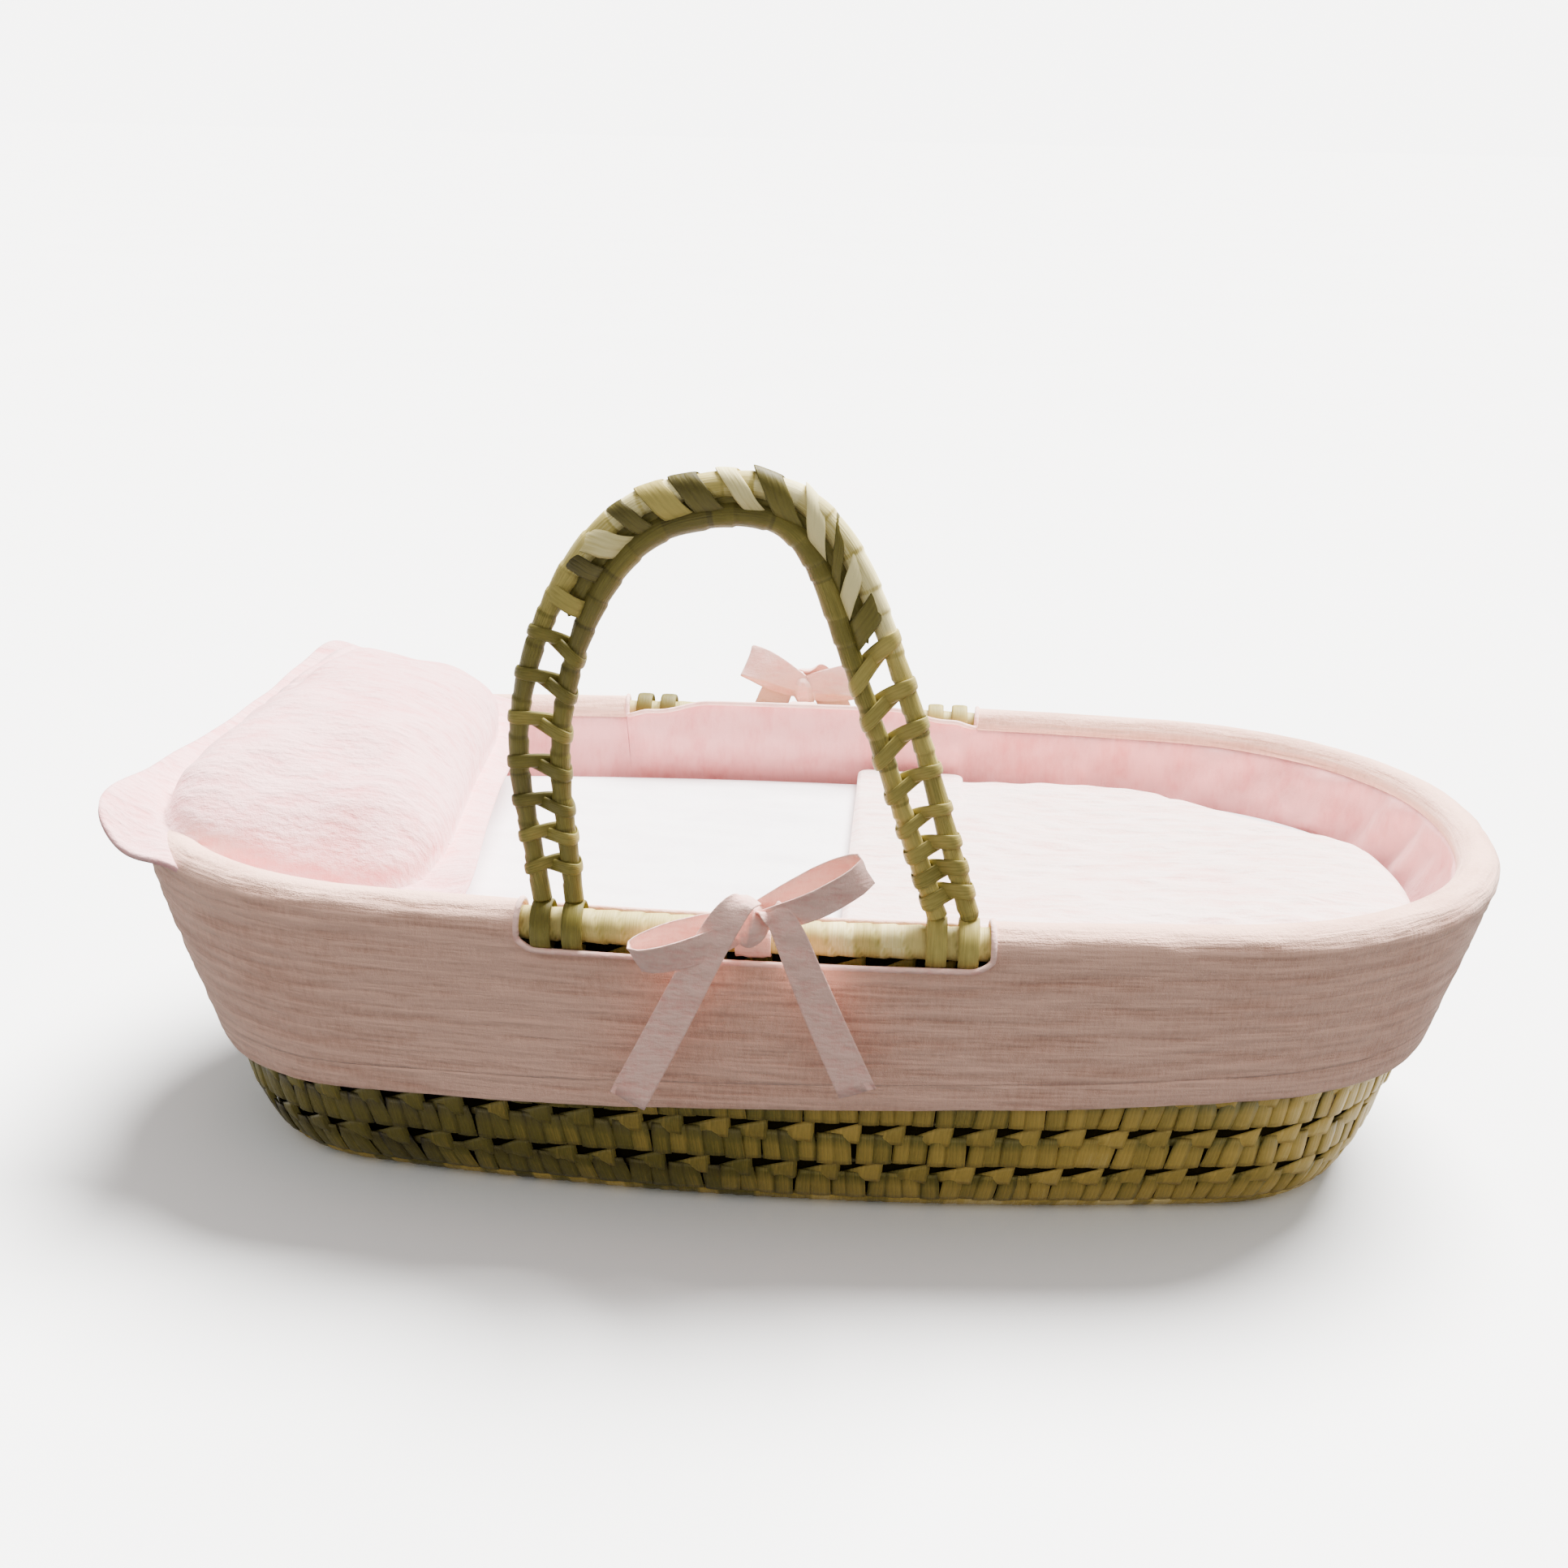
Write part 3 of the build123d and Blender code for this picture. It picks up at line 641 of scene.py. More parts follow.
@dataclass
class PlaitCourse:
    """One course of the wall: upright leaf strips below, and slanting tabs with dark windows above."""

    wall: WallForm
    number: int
    low: float
    high: float
    strip_width: float = 0.0105
    tab_pitch: float = 0.025
    leaf_thickness: float = 0.0006
    turn_up: float = 0.006
    strip_top: float = 0.72
    tab_foot: float = 0.50
    ply_out: float = 0.0002
    ply_in: float = -0.0044

    def skin(self, share: Array, rise: Array, out: Array) -> Array:
        """Points of the course: share of the way round, share of its height, and distance outwards.

        The first course curls in towards its foot by the turn-up, times the square of what is left of
        its height.
        """
        height = self.low + (self.high - self.low) * rise
        curl = self.turn_up * (1 - rise) ** 2 if self.number == 1 else 0.0
        return self.wall.point(share, height, out - curl)

    def strips(self, work: Patchwork, draw: np.random.Generator) -> None:
        """Add the upright strips: each is cupped across, stands proud at its foot and tucks in at its top.

        Distance outwards is 4.4 mm at the foot, less 1.8 mm times the square of the rise, plus a cup of
        0.9 mm times 1 - across^2.
        """
        count = round(self.wall.round((self.low + self.high) / 2) / self.strip_width)
        middle = (np.arange(count) + draw.uniform(-0.14, 0.14, count)) / count
        half = draw.uniform(0.50, 0.58, count) / count
        lean = draw.uniform(-0.28, 0.16, count) / count
        foot = draw.uniform(-0.03, 0.03, count)
        lift = draw.permutation(np.linspace(-0.7, 0.7, count)) * MM
        across = np.linspace(-1, 1, 5)[None, None, :]
        rise = np.linspace(0, 1, 7)[None, :, None]
        narrow = 1 - 0.25 * ease(0.6, 1.0, rise) * draw.uniform(0, 1, count)[:, None, None]
        share = middle[:, None, None] + half[:, None, None] * across * narrow + lean[:, None, None] * rise
        height = foot[:, None, None] * (1 - rise) + self.strip_top * rise
        out = (4.4 - 1.8 * rise**2 + 0.9 * (1 - across**2)) * MM + lift[:, None, None]
        edge = 0.22 * np.abs(across) ** 3 * draw.uniform(0, 1, count)[:, None, None]
        # Painted shade: each strip darkens towards its top, where it tucks in under the tabs.
        tone = draw.uniform(0.40, 0.58, count)[:, None, None] - 0.22 * ease(0.45, 0.9, rise) - edge
        work.add(self.skin(share, height, out), (self.strip_width, 0.02), tone=tone)

    def tabs(self, work: Patchwork, draw: np.random.Generator) -> None:
        """Add the slanting tabs: each rises from behind the strips at its left to the course's top edge.

        Distance outwards grows from 0.6 mm at the left to 5 mm at the right, where a lip turns in by
        3.2 mm. The top edge rises from 0.54 to 0.66 of the height to all of it, over three quarters or
        more of the width.
        """
        count = round(self.wall.round((self.low + self.high) / 2) / self.tab_pitch)
        start = (np.arange(count) + draw.uniform(-0.07, 0.07, count) + draw.uniform(0, 1)) / count
        width = draw.uniform(1.02, 1.14, count) / count
        across = np.concatenate([np.linspace(0, 0.94, 8), [0.985, 1.0]])[None, None, :]
        rise = np.linspace(0, 1, 6)[None, :, None]
        share = start[:, None, None] + width[:, None, None] * across
        left = draw.uniform(0.54, 0.66, count)[:, None, None]
        reach = draw.uniform(0.75, 1.0, count)[:, None, None]
        top = left + (1.005 - left) * np.clip(across / reach, 0, 1)
        height = self.tab_foot + (top - self.tab_foot) * rise
        lip = ease(0.95, 1.0, across)
        cup = 0.8 * np.sin(math.pi * rise) * np.sin(math.pi * np.clip(across, 0, 0.94))
        out = (0.6 + 4.4 * across**0.8 + cup - 3.2 * lip - 0.7 * rise**2) * MM
        # Painted shade: each tab is darker at its left end, which is tucked in under the lip of the tab before
        # it.
        tone = draw.uniform(0.38, 0.56, count)[:, None, None] - 0.4 * (1 - ease(0, 0.6, across)) + 0 * rise
        work.add(self.skin(share, height, out), (0.02, self.tab_pitch), tone=tone)

    def backing(self, work: Patchwork) -> None:
        """Add the inner ply behind the windows, whose near-black finish paints the shade inside them: a closed
        ring of four-sided section.
        """
        share = whole_way(480)
        rise = np.array([0.0, 1.0, 1.0, 0.0])[:, None]
        out = np.array([self.ply_out, self.ply_out, self.ply_in, self.ply_in])[:, None]
        work.add(self.skin(share, rise, out), (2.0, 0.02), ring=True, hoop=True, tone=0.2)

    def build(self, palette: Palette) -> None:
        """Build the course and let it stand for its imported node."""
        draw = np.random.default_rng(40 + self.number)
        work = Patchwork()
        self.strips(work, draw)
        self.tabs(work, draw)
        name, node = f"plait_course_{self.number}", f"wall_course_{self.number}"
        leaf = Piece(name, "basket", "palm_plait", (node,))
        leaf.place(work, palette.palm, self.leaf_thickness, -1)
        ply = Patchwork()
        self.backing(ply)
        Piece(f"{name}_ply", "basket", "palm_plait").place(ply, palette.inside)


@dataclass
class PlaitBase:
    """The base: oval turns of plait sewn edge to edge, the outer one turned up to meet the wall."""

    wall: WallForm
    turns: int = 4
    turn_width: float = 0.028
    ground_inset: float = 0.014
    turn_up: float = 0.006
    strip_pitch: float = 0.0105

    def edge(self, turn: int, ground: bool) -> float:
        """Distance of a turn's outer edge from the middle of the wall, at the ground or at its top."""
        inset = self.ground_inset if ground else self.turn_up
        return self.wall.plait_thickness / 2 - inset - turn * self.turn_width

    def relief(self, share: Array, count: int, way: Array) -> Array:
        """The lapped strips' relief: 0.9 mm of a saw that leans with the way across."""
        return 0.9 * MM * saw(share * count + 0.6 * way, 0.2)

    def ring(self, turn: int) -> Patchwork:
        """One turn: a closed ring whose section is rounded at the outer foot, with strips across it."""
        thick = self.wall.plait_thickness
        low_out, high_out = self.edge(turn, True), self.edge(turn, False)
        low_in, high_in = self.edge(turn + 1, True) + 0.3 * MM, self.edge(turn + 1, False) + 0.3 * MM
        bend = np.linspace(0, 1, 6)
        outs = np.concatenate([high_out + (low_out - high_out) * bend**2, np.linspace(low_out, low_in, 6)[1:],
                               [high_in], np.linspace(high_in, high_out, 5)[1:-1]])
        ups = np.concatenate([thick * (1 - bend), np.zeros(5), np.full(4, thick)])
        outer = (np.arange(len(ups)) < len(bend))[:, None]
        count = round(self.wall.round(0.0, low_out) / self.strip_pitch)
        share = whole_way(count * 5)
        way = np.linspace(0, 1, len(outs))[:, None]
        lift = self.relief(share, count, way)
        under = np.isclose(ups, 0)[:, None] & ~outer
        height = ups[:, None] + np.where(under, lift, 0.0)
        out = outs[:, None] - np.where(outer, lift, 0.0)
        grid = self.wall.point(share, height, out)
        draw = np.random.default_rng(70 + turn)
        tone = draw.uniform(0.3, 0.8, count)[np.arange(count * 5) // 5][None, :] + 0 * way
        return Patchwork().add(grid, (1.6, 0.06), ring=True, hoop=True, tone=tone[None])

    def middle(self) -> Patchwork:
        """The solid middle: rings drawn in from its edge to a point, above and below."""
        thick = self.wall.plait_thickness
        reach = np.concatenate([np.linspace(0, 1, 14), np.linspace(1, 0, 14)])[:, None]
        under = np.concatenate([np.ones(14), np.zeros(14)])[:, None]
        count = 90
        share = whole_way(count * 5)
        lift = self.relief(share, count, 3 * reach)
        edge = self.edge(self.turns, True) * under + self.edge(self.turns, False) * (1 - under)
        grid = self.wall.point(share, 0 * reach, edge) * reach[..., None]
        grid[..., 2] = np.where(under > 0, lift * np.minimum(1, 8 * (1 - reach) * reach), thick)
        tone = 0.5 + 0.2 * np.sin(37 * share[None] + 0 * reach)
        return Patchwork().add(grid, (0.4, 0.2), ring=True, tone=tone)

    def build(self, palette: Palette) -> None:
        """Build every turn and the middle."""
        for turn in range(self.turns):
            number = self.turns - turn
            piece = Piece(f"plait_base_{number}", "basket", "palm_plait", (f"base_turn_{number}",))
            piece.place(self.ring(turn), palette.palm)
        middle = Piece("plait_base_middle", "basket", "palm_plait", ("base_middle",))
        middle.place(self.middle(), palette.palm)


@dataclass
class RimCoil:
    """The rim's coil, wound with leaf strip whose laps lean round it."""

    wall: WallForm
    radius: float
    wind: float = 0.0135
    lap_height: float = 0.0007

    def build(self, palette: Palette) -> None:
        """Build the coil: radius less 0.7 mm of a saw of share * windings + angle / turn."""
        windings = round(self.wall.round(self.wall.rim_height) / self.wind)
        share = whole_way(windings * 9)
        angle = turns(20)[:, None]
        lap = saw(share * windings + 0.35 * np.sin(angle), 0.14)
        size = self.radius - self.lap_height * (1 - lap)
        grid = self.wall.point(share, self.wall.rim_height, size * np.cos(angle))
        grid[..., 2] += size * np.sin(angle)
        draw = np.random.default_rng(9)
        # Painted shade: the drop at each lap's edge is 0.2 darker, for the shade in the step under the lap.
        tone = draw.uniform(0.35, 0.75, windings)[np.arange(windings * 9) // 9] - 0.2 * (lap < 0.1)
        work = Patchwork().add(grid, (2.0, 0.06), ring=True, hoop=True, tone=tone[None])
        Piece("palm_rim_coil", "basket", "palm_wrap", ("rim_wrapping",)).place(work, palette.coil)


# ---- Cover ----------------------------------------------------------------------------------------


@dataclass
class Cover:
    """The muslin cover: a skirt over the rim, its hem, a lining and a floor, with a piped slot at each
    handle."""

    wall: WallForm
    coil_radius: float
    slot_middle: float = -0.020
    slot_half: float = 0.126
    slot_low: float = 0.1750
    slot_corner: float = 0.011
    roll_gap: float = 0.0022
    skirt_stand: float = 0.0095
    hem_head: float = 0.060
    hem_foot: float = 0.092
    hem_band: float = 0.018
    cloth: float = 0.0012
    inner_edge: float = 0.1885
    inner_stand: float = 0.0205
    far_edge: float = 0.0120
    piping: float = 0.0016
    lining_foot: float = 0.0098

    def roll_radius(self) -> float:
        """Middle of the cloth over the rim coil."""
        return self.coil_radius + self.roll_gap

    def hem_height(self, x: Array) -> Array:
        """Height of the hem's lower edge: a straight slope from the head end to the foot end."""
        share = (x + self.wall.rim[0]) / (2 * self.wall.rim[0])
        return self.hem_head + (self.hem_foot - self.hem_head) * share

    def skirt_out(self, height: Array) -> Array:
        """How far the skirt stands outside the wall: from skirt_stand near the hem to the roll's radius."""
        low = self.hem_head - self.hem_band
        share = (height - low) / (self.wall.rim_height - low)
        return self.skirt_stand + (self.roll_radius() - self.skirt_stand) * share

    def columns(self) -> Array:
        """Shares of the way round the cover, with close ones added at the ends of both slots."""
        parts = [np.linspace(0, 1, 640, endpoint=False)]
        for side in Side:
            for end in (-1, 1):
                near_end = self.slot_half - self.slot_corner * np.linspace(-0.4, 1.1, 26)
                parts.append(self.wall.share_at(self.slot_middle + end * near_end, side))
        return np.unique(np.round(np.concatenate(parts), 5))[None, :]

    def in_slot(self, share: Array) -> tuple[Array, Array]:
        """Distance of each share from its side's slot middle, and whether it lies in the slot."""
        points, normals = self.wall.foot(share, self.wall.rim_height)
        away = np.abs(points[..., 0] - self.slot_middle)
        return away, (away < self.slot_half) & (np.abs(normals[..., 1]) > 0.9)

    def corner_rise(self, away: Array) -> Array:
        """How far the slot's edge has risen towards its end: a quarter circle, less its last stretch."""
        into = np.clip((away - self.slot_half + self.slot_corner) / self.slot_corner, 0, 0.97)
        return self.slot_corner * (1 - np.sqrt(1 - into**2))

    def far_rise(self, away: Array) -> Array:
        """How much higher the lining's far slot edge stands: less by the handle's eyes, most between."""
        return self.far_edge * (0.4 + 0.6 * ease(0.104, 0.066, away)) * ease(self.slot_half, 0.112, away)

    def skirt(self) -> Array:
        """The skirt and the roll over the rim, as one sheet.

        A point runs up the leaning skirt to the rim's height and then round the coil by an angle of
        (run - fall) / radius. Fifty rows reach the slots' lower edges and the others go on from there.
        """
        share = self.columns()
        low_rows, high_rows = np.linspace(0, 1, 50)[:, None], np.linspace(0, 1, 33)[1:, None]
        radius = self.roll_radius()
        away, inside = self.in_slot(share)
        points, _ = self.wall.foot(share, self.wall.rim_height)
        start = self.hem_height(points[..., 0]) + self.hem_band
        fall = self.wall.rim_height - start
        shared = self.slot_low - 2 * MM - start
        reach = np.where(inside, self.slot_low + self.corner_rise(away) - start, fall + math.pi * radius)
        run = np.concatenate([low_rows * shared, shared + high_rows * (reach - shared)])
        angle = np.clip((run - fall) / radius, 0, None)
        height = start + np.minimum(run, fall)
        out = np.where(angle > 0, radius * np.cos(angle), self.skirt_out(height))
        grid = self.wall.point(share, height, out)
        grid[..., 2] += np.where(angle > 0, radius * np.sin(angle), 0.0)
        return self.crumple(grid, share, 1 - ease(0.3 * math.pi, 0.95 * math.pi, angle))

    def crumple(self, grid: Array, share: Array, free: Array | float = 1.0) -> Array:
        """Push cloth outwards by crinkles that lie along it and by slow swells where it hangs free.

        The push is a sum of 0.65 mm ridges 1 - |w|^0.7 of waves w that are six times closer up and down
        than along, of 0.18 mm finer waves, and of 1.4 mm waves of about 150 mm in the lower half.

        Args:
            grid: the cloth's points.
            share: their share of the way round.
            free: how much of the push each takes, from 0 to 1.

        Returns:
            The pushed points.
        """
        ridge = 1 - np.abs(ripple(grid, 0.075, 5, (1, 1, 6), 12)) ** 0.7
        push = 0.65 * MM * ridge + 0.18 * MM * ripple(grid, 0.016, 7, (1, 1, 2), 14)
        push += 1.4 * MM * (0.4 + ripple(grid, 0.150, 6, (1, 1, 0.6))) * ease(0.19, 0.11, grid[..., 2])
        _, normal = self.wall.foot(share, grid[..., 2])
        return grid + (free * push)[..., None] * normal

    def hem(self) -> Array:
        """The hem band: a doubled sheet that turns back on itself at its foot, as a closed flat tube."""
        share = whole_way(720)
        points, _ = self.wall.foot(share, self.wall.rim_height)
        foot = self.hem_height(points[..., 0])
        angle = turns(22)[:, None]
        lift = 0.5 + 0.5 * squared(np.sin(angle), 0.55)
        height = foot + (self.hem_band + 0.8 * MM) * lift
        out = self.skirt_out(height) + 1.1 * MM * np.cos(angle) * (1 - 0.35 * lift)
        return self.crumple(self.wall.point(share, height, out), share)

    def lining(self) -> Array:
        """The upright lining, from the floor to the roll's inner edge, or to the piped edge in a slot.

        It follows the wall 6.6 mm inside it, leaves it over the last 17 mm for the roll's inner edge and
        stands further in at the slots. Round the foot end's far corner it is drawn into puckers |sin|^3
        and into one oval pucker r^2 exp(1 - r^2), 17 mm by 11 mm, below the rim.
        """
        share = self.columns()
        rows = np.linspace(0, 1, 52)[:, None]
        rim = self.wall.rim_height
        away, inside = self.in_slot(share)
        points, normal = self.wall.foot(share, rim)
        far_rise = self.far_rise(away) * (normal[..., 1] > 0)
        top = np.where(inside, self.inner_edge + far_rise, rim)
        height = self.lining_foot + rows * (top - self.lining_foot)
        face = -6.6 * MM - 6 * MM * ease(0.037, 0.009, height)
        shoulder = ease(rim - 0.017, rim, height)
        out = face + (-self.roll_radius() - face) * shoulder
        bulge = ease(self.slot_half + 0.002, self.slot_half - 0.014, away) * (np.abs(normal[..., 1]) > 0.9)
        out = out - (self.inner_stand + out) * bulge * ease(0.135, 0.182, height)
        grid = self.wall.point(share, height, out)
        loose = ease(0.02, 0.10, height) * (1 - shoulder) ** 0.5 * (1 - 0.8 * bulge)
        corner = np.exp(-(((np.arctan2(normal[..., 1], normal[..., 0]) - 0.75) / 0.6) ** 2))
        waves = ripple(grid, 0.06, 11, (1, 1, 0.4))
        pinch = np.abs(np.sin(112 * share + 30 * (height - 0.1) + 1.2 * np.sin(40 * share))) ** 3
        ring = ((points[..., 0] - 0.337) / 0.017) ** 2 + ((height - 0.160) / 0.011) ** 2
        oval = ring * np.exp(1 - ring) * (normal[..., 1] > 0)
        inward = loose * MM * (1.6 * (1 + waves) + 10 * corner * pinch * (1 - oval) + 7 * oval
                               + 1.0 * ripple(grid, 0.02, 12, (1, 1, 0.5)))
        return grid - np.maximum(inward, -0.4 * MM)[..., None] * normal

    def floor(self) -> Patchwork:
        """The lining's floor panel: rings drawn in from its edge, with shallow ripples, closed below."""
        reach = np.concatenate([np.linspace(0, 1, 30), np.linspace(1, 0, 12)])[:, None]
        upper = np.concatenate([np.ones(30), np.zeros(12)])[:, None]
        share = whole_way(240)
        edge = self.wall.point(share, 0.0105 + 0 * reach, -0.0145)
        grid = edge * np.stack([reach, reach, 1 + 0 * reach], -1)
        uneven = 0.0003 * ripple(grid, 0.05, 21) * np.minimum(1, 6 * (1 - reach))
        grid[..., 2] = 0.0096 + upper * (0.0012 + uneven)
        return Patchwork().add(grid, (0.6, 0.3), ring=True)

    def slot_edge(self, side: Side) -> Array:
        """The closed line of a slot's piping: along the skirt's cut edge, over the roll at both ends and
        back along the lining's top edge."""
        radius = self.roll_radius() + 0.9 * MM
        half = self.slot_half
        low = np.linspace(-half + 3 * MM, half - 3 * MM, 90)
        low_height = self.slot_low + self.corner_rise(np.abs(low))
        ends = np.linspace(-0.55, math.pi - 0.1, 26)
        back = np.linspace(half - 8 * MM, -half + 8 * MM, 80)
        x = np.concatenate([low, np.full(26, half), back, np.full(26, -half)]) + self.slot_middle
        back_height = self.inner_edge + (side is Side.FAR) * self.far_rise(np.abs(back))
        out = np.concatenate([self.skirt_out(low_height) + 1.2 * MM, radius * np.cos(ends),
                              np.full(80, -self.inner_stand), radius * np.cos(ends[::-1])])
        height = np.concatenate([low_height, self.wall.rim_height + radius * np.sin(ends),
                                 back_height, self.wall.rim_height + radius * np.sin(ends[::-1])])
        line = self.wall.point(self.wall.share_at(x, side), self.wall.rim_height, out)
        line[:, 2] = height
        return smoothed(evenly(np.concatenate([line, line[:1]]), 421)[:-1], 9)

    def pipe(self, side: Side, palette: Palette) -> None:
        """Build a slot's piping: a round cord carried round the closed line of the slot."""
        line = self.slot_edge(side)
        tangent = unit(np.roll(line, -1, 0) - np.roll(line, 1, 0))
        across = unit(np.cross(tangent, np.array([0.3, 0.4, 1.0])))
        up = np.cross(tangent, across)
        angle = turns(9)[None, :, None]
        grid = line[:, None] + self.piping * (np.cos(angle) * across[:, None] + np.sin(angle) * up[:, None])
        edge = Piece(f"{side.word}_piped_edge", "basket", "pink_muslin", (f"{side.word}_slot_piping",))
        edge.skin(grid, (0.01, 0.6), palette.ribbon, hoop=True)

    def build(self, palette: Palette) -> None:
        skirt = Piece("muslin_skirt", "basket", "pink_muslin", ("cover_skirt", "cover_rim_roll")).place(
            Patchwork().add(self.skirt(), (2.2, 0.15), ring=True), palette.skirt, self.cloth)
        hem = Piece("muslin_hem", "basket", "pink_muslin", ("cover_hem",)).skin(
            self.hem(), (2.2, 0.04), palette.skirt, hoop=True)
        lining = Piece("muslin_lining", "basket", "pink_muslin", ("cover_lining",)).place(
            Patchwork().add(self.lining(), (2.0, 0.18), ring=True), palette.lining, self.cloth)
        floor = Piece("muslin_floor", "basket", "pink_muslin", ("cover_floor",)).place(
            self.floor(), palette.lining)
        for side in Side:
            self.pipe(side, palette)


# ---- Ribbons --------------------------------------------------------------------------------------


@dataclass
class Bow:
    """A tie ribbon: a turn round the rim coil, a knot, two loops and two tails."""

    side: Side
    wall: WallForm
    coil_radius: float
    loop_angles: tuple[float, float]
    middle: float = -0.020
    width: float = 0.019
    thickness: float = 0.0020
    loop_length: float = 0.066

    def world(self, local: Array) -> Array:
        """Local points (right, outwards from the coil's centre, height) turned into the frame.

        Right is the viewer's right when facing the bow from outside.
        """
        right, out, height = local[..., 0], local[..., 1], local[..., 2]
        rim_y = self.wall.point(self.wall.share_at(self.middle, self.side), self.wall.rim_height, 0.0)[1]
        x = self.middle - self.side.value * right
        return np.stack([x, rim_y + self.side.value * out, height + 0 * x], -1)

    def ribbon(self, corners: Array, across: Array, width: Array, count: int = 60) -> Array:
        """A ribbon along a curve: a flat closed section whose hemmed edges are thicker than its middle.

        The section is width / 2 * sgn(cos a)|cos a|^0.7 across and thickness / 2 * sin a * (0.5 + 1.5
        cos^8 a) through, with 0.45 mm of crinkle.

        Args:
            corners: control points of its middle line, in local coordinates.
            across: directions of its width at each corner.
            width: its width at each corner.
            count: rows along it.

        Returns:
            A grid in the frame, rows along the ribbon, closed at its ends.
        """
        both = curve_through(np.concatenate([corners, across, width[:, None]], 1), count)
        line, wide, span = both[:, :3], unit(both[:, 3:6]), both[:, 6:]
        tangent = unit(np.gradient(line, axis=0))
        wide = unit(wide - (wide * tangent).sum(-1, keepdims=True) * tangent)
        through = np.cross(tangent, wide)
        angle = turns(26)[None, :]
        cos, sin = np.cos(angle), np.sin(angle)
        over = span / 2 * squared(cos, 0.7)
        deep = self.thickness / 2 * sin * (0.5 + 1.5 * cos**8)
        grid = line[:, None] + over[..., None] * wide[:, None]
        deep = deep + 0.45 * MM * ripple(grid, 0.016, 31 + self.side.value, (1, 1, 1)) * (1 - cos**6)
        grid = grid + deep[..., None] * through[:, None]
        middle = np.repeat(grid.mean(1, keepdims=True), 26, 1)
        return self.world(np.concatenate([middle[:1], grid, middle[-1:]]))

    def loop(self, angle: float) -> Array:
        """A loop that leaves the knot at an angle above level, seen from outside.

        Its line runs out in front, turns and comes back behind; its width leans so that the inside shows.
        """
        turn = math.radians(angle)
        along = np.array([math.cos(turn), 0.0, math.sin(turn)])
        above = unit(np.cross(along, np.array([0.0, -1.0, 0.0]))) * math.copysign(1, math.cos(turn))
        outward = np.array([0.0, 1.0, 0.0])
        reach = np.array([0.02, 0.25, 0.55, 0.85, 1.02, 1.0, 0.72, 0.4, 0.05]) * self.loop_length
        front = np.array([21, 27, 31, 29, 23, 17, 15.5, 16.5, 18]) * MM
        rise = np.array([2.5, 3.5, 3, 1, -1, -4, -5, -4, -2]) * MM
        start = np.array([0.0, 0.0, self.wall.rim_height + 0.018])
        corners = start + reach[:, None] * along + front[:, None] * outward + rise[:, None] * above
        lean = -np.array([0.1, 0.25, 0.4, 0.45, 0.45, 0.45, 0.4, 0.3, 0.2])[:, None]
        across = above + outward * lean
        width = self.width * np.array([0.55, 0.85, 1, 1, 1, 1, 1, 0.8, 0.55])
        return self.ribbon(corners, across, width, 80)

    def tail(self, way: int) -> Array:
        """A tail that comes over the knot, falls in front of the skirt and spreads to one side: to the
        left with a way of -1, to the right with 1."""
        rim = self.wall.rim_height
        if way < 0:
            spots = [(1, 23, 29), (-5, 30, 30), (-13, 32, 20), (-24, 27, -2), (-41, 22, -40), (-66, 15.5, -93)]
        else:
            spots = [(6, 22, 22), (12, 28, 25), (19, 29, 16), (27, 26, -6), (41, 20, -42), (58, 15, -82)]
        corners = np.array(spots) * MM + np.array([0.0, 0.0, rim])
        level = np.array([(1, 0.3, 0.2), (0.9, 0.25, 0.35), (0.8, 0.2, 0.5), (0.93, 0.15, 0.3),
                          (0.94, 0.1, 0.3), (0.94, 0.1, 0.32)])
        across = level * np.array([1, 1, way])
        width = self.width * np.array([0.6, 0.75, 0.95, 1.0, 1.08, 1.12])
        return self.ribbon(corners, across, width, 90)

    def knot(self) -> Array:
        """The knot: a short band wrapped over the crossing, as a rounded lump with a pleat down it."""
        polar = np.linspace(0, math.pi, 26)[:, None]
        angle = turns(40)[None, :]
        pleat = 1 + 0.09 * np.sin(5 * angle + 0.8) * np.sin(polar) + 0.05 * np.sin(9 * angle)
        right = 0.0085 * np.sin(polar) * np.cos(angle) * pleat
        out = 0.0082 * np.sin(polar) * np.sin(angle) * pleat
        up = 0.0125 * np.cos(polar) + 0 * angle
        lean = 0.5
        local = np.stack([right + 0.12 * up, out * math.cos(lean) - up * math.sin(lean) * 0.6,
                          up * math.cos(lean) + out * math.sin(lean)], -1)
        return self.world(local + np.array([0.0, 0.0215, self.wall.rim_height + 0.014]))

    def wrap(self) -> Array:
        """The ribbon's turn round the rim coil: a flat ring, 1.4 mm thick, gathered across its width."""
        angle = turns(72)[:, None]
        section = turns(22)[None, :]
        across = 0.0095 * squared(np.cos(section), 0.6)
        gathers = 0.3 * MM * np.sin(900 * across + 2 * angle)
        radius = self.coil_radius + 1.4 * MM + 0.6 * MM * np.sin(section) + gathers
        local = np.stack([across + 0 * angle, radius * np.cos(angle),
                          self.wall.rim_height + radius * np.sin(angle)], -1)
        return self.world(local)

    def build(self, palette: Palette) -> None:
        """Build the bow's pieces."""
        word = self.side.word
        grids = {"wrap": self.wrap(), "knot": self.knot(), "left_loop": self.loop(self.loop_angles[0]),
                 "right_loop": self.loop(self.loop_angles[1]), "left_tail": self.tail(-1),
                 "right_tail": self.tail(1)}
        for part, grid in grids.items():
            made = Piece(f"{word}_bow_{part}", "basket", "ribbon", (f"{word}_tie_{part}",)).skin(
                grid, (0.04, 0.13), palette.ribbon, hoop=part == "wrap")


# ---- Handles --------------------------------------------------------------------------------------


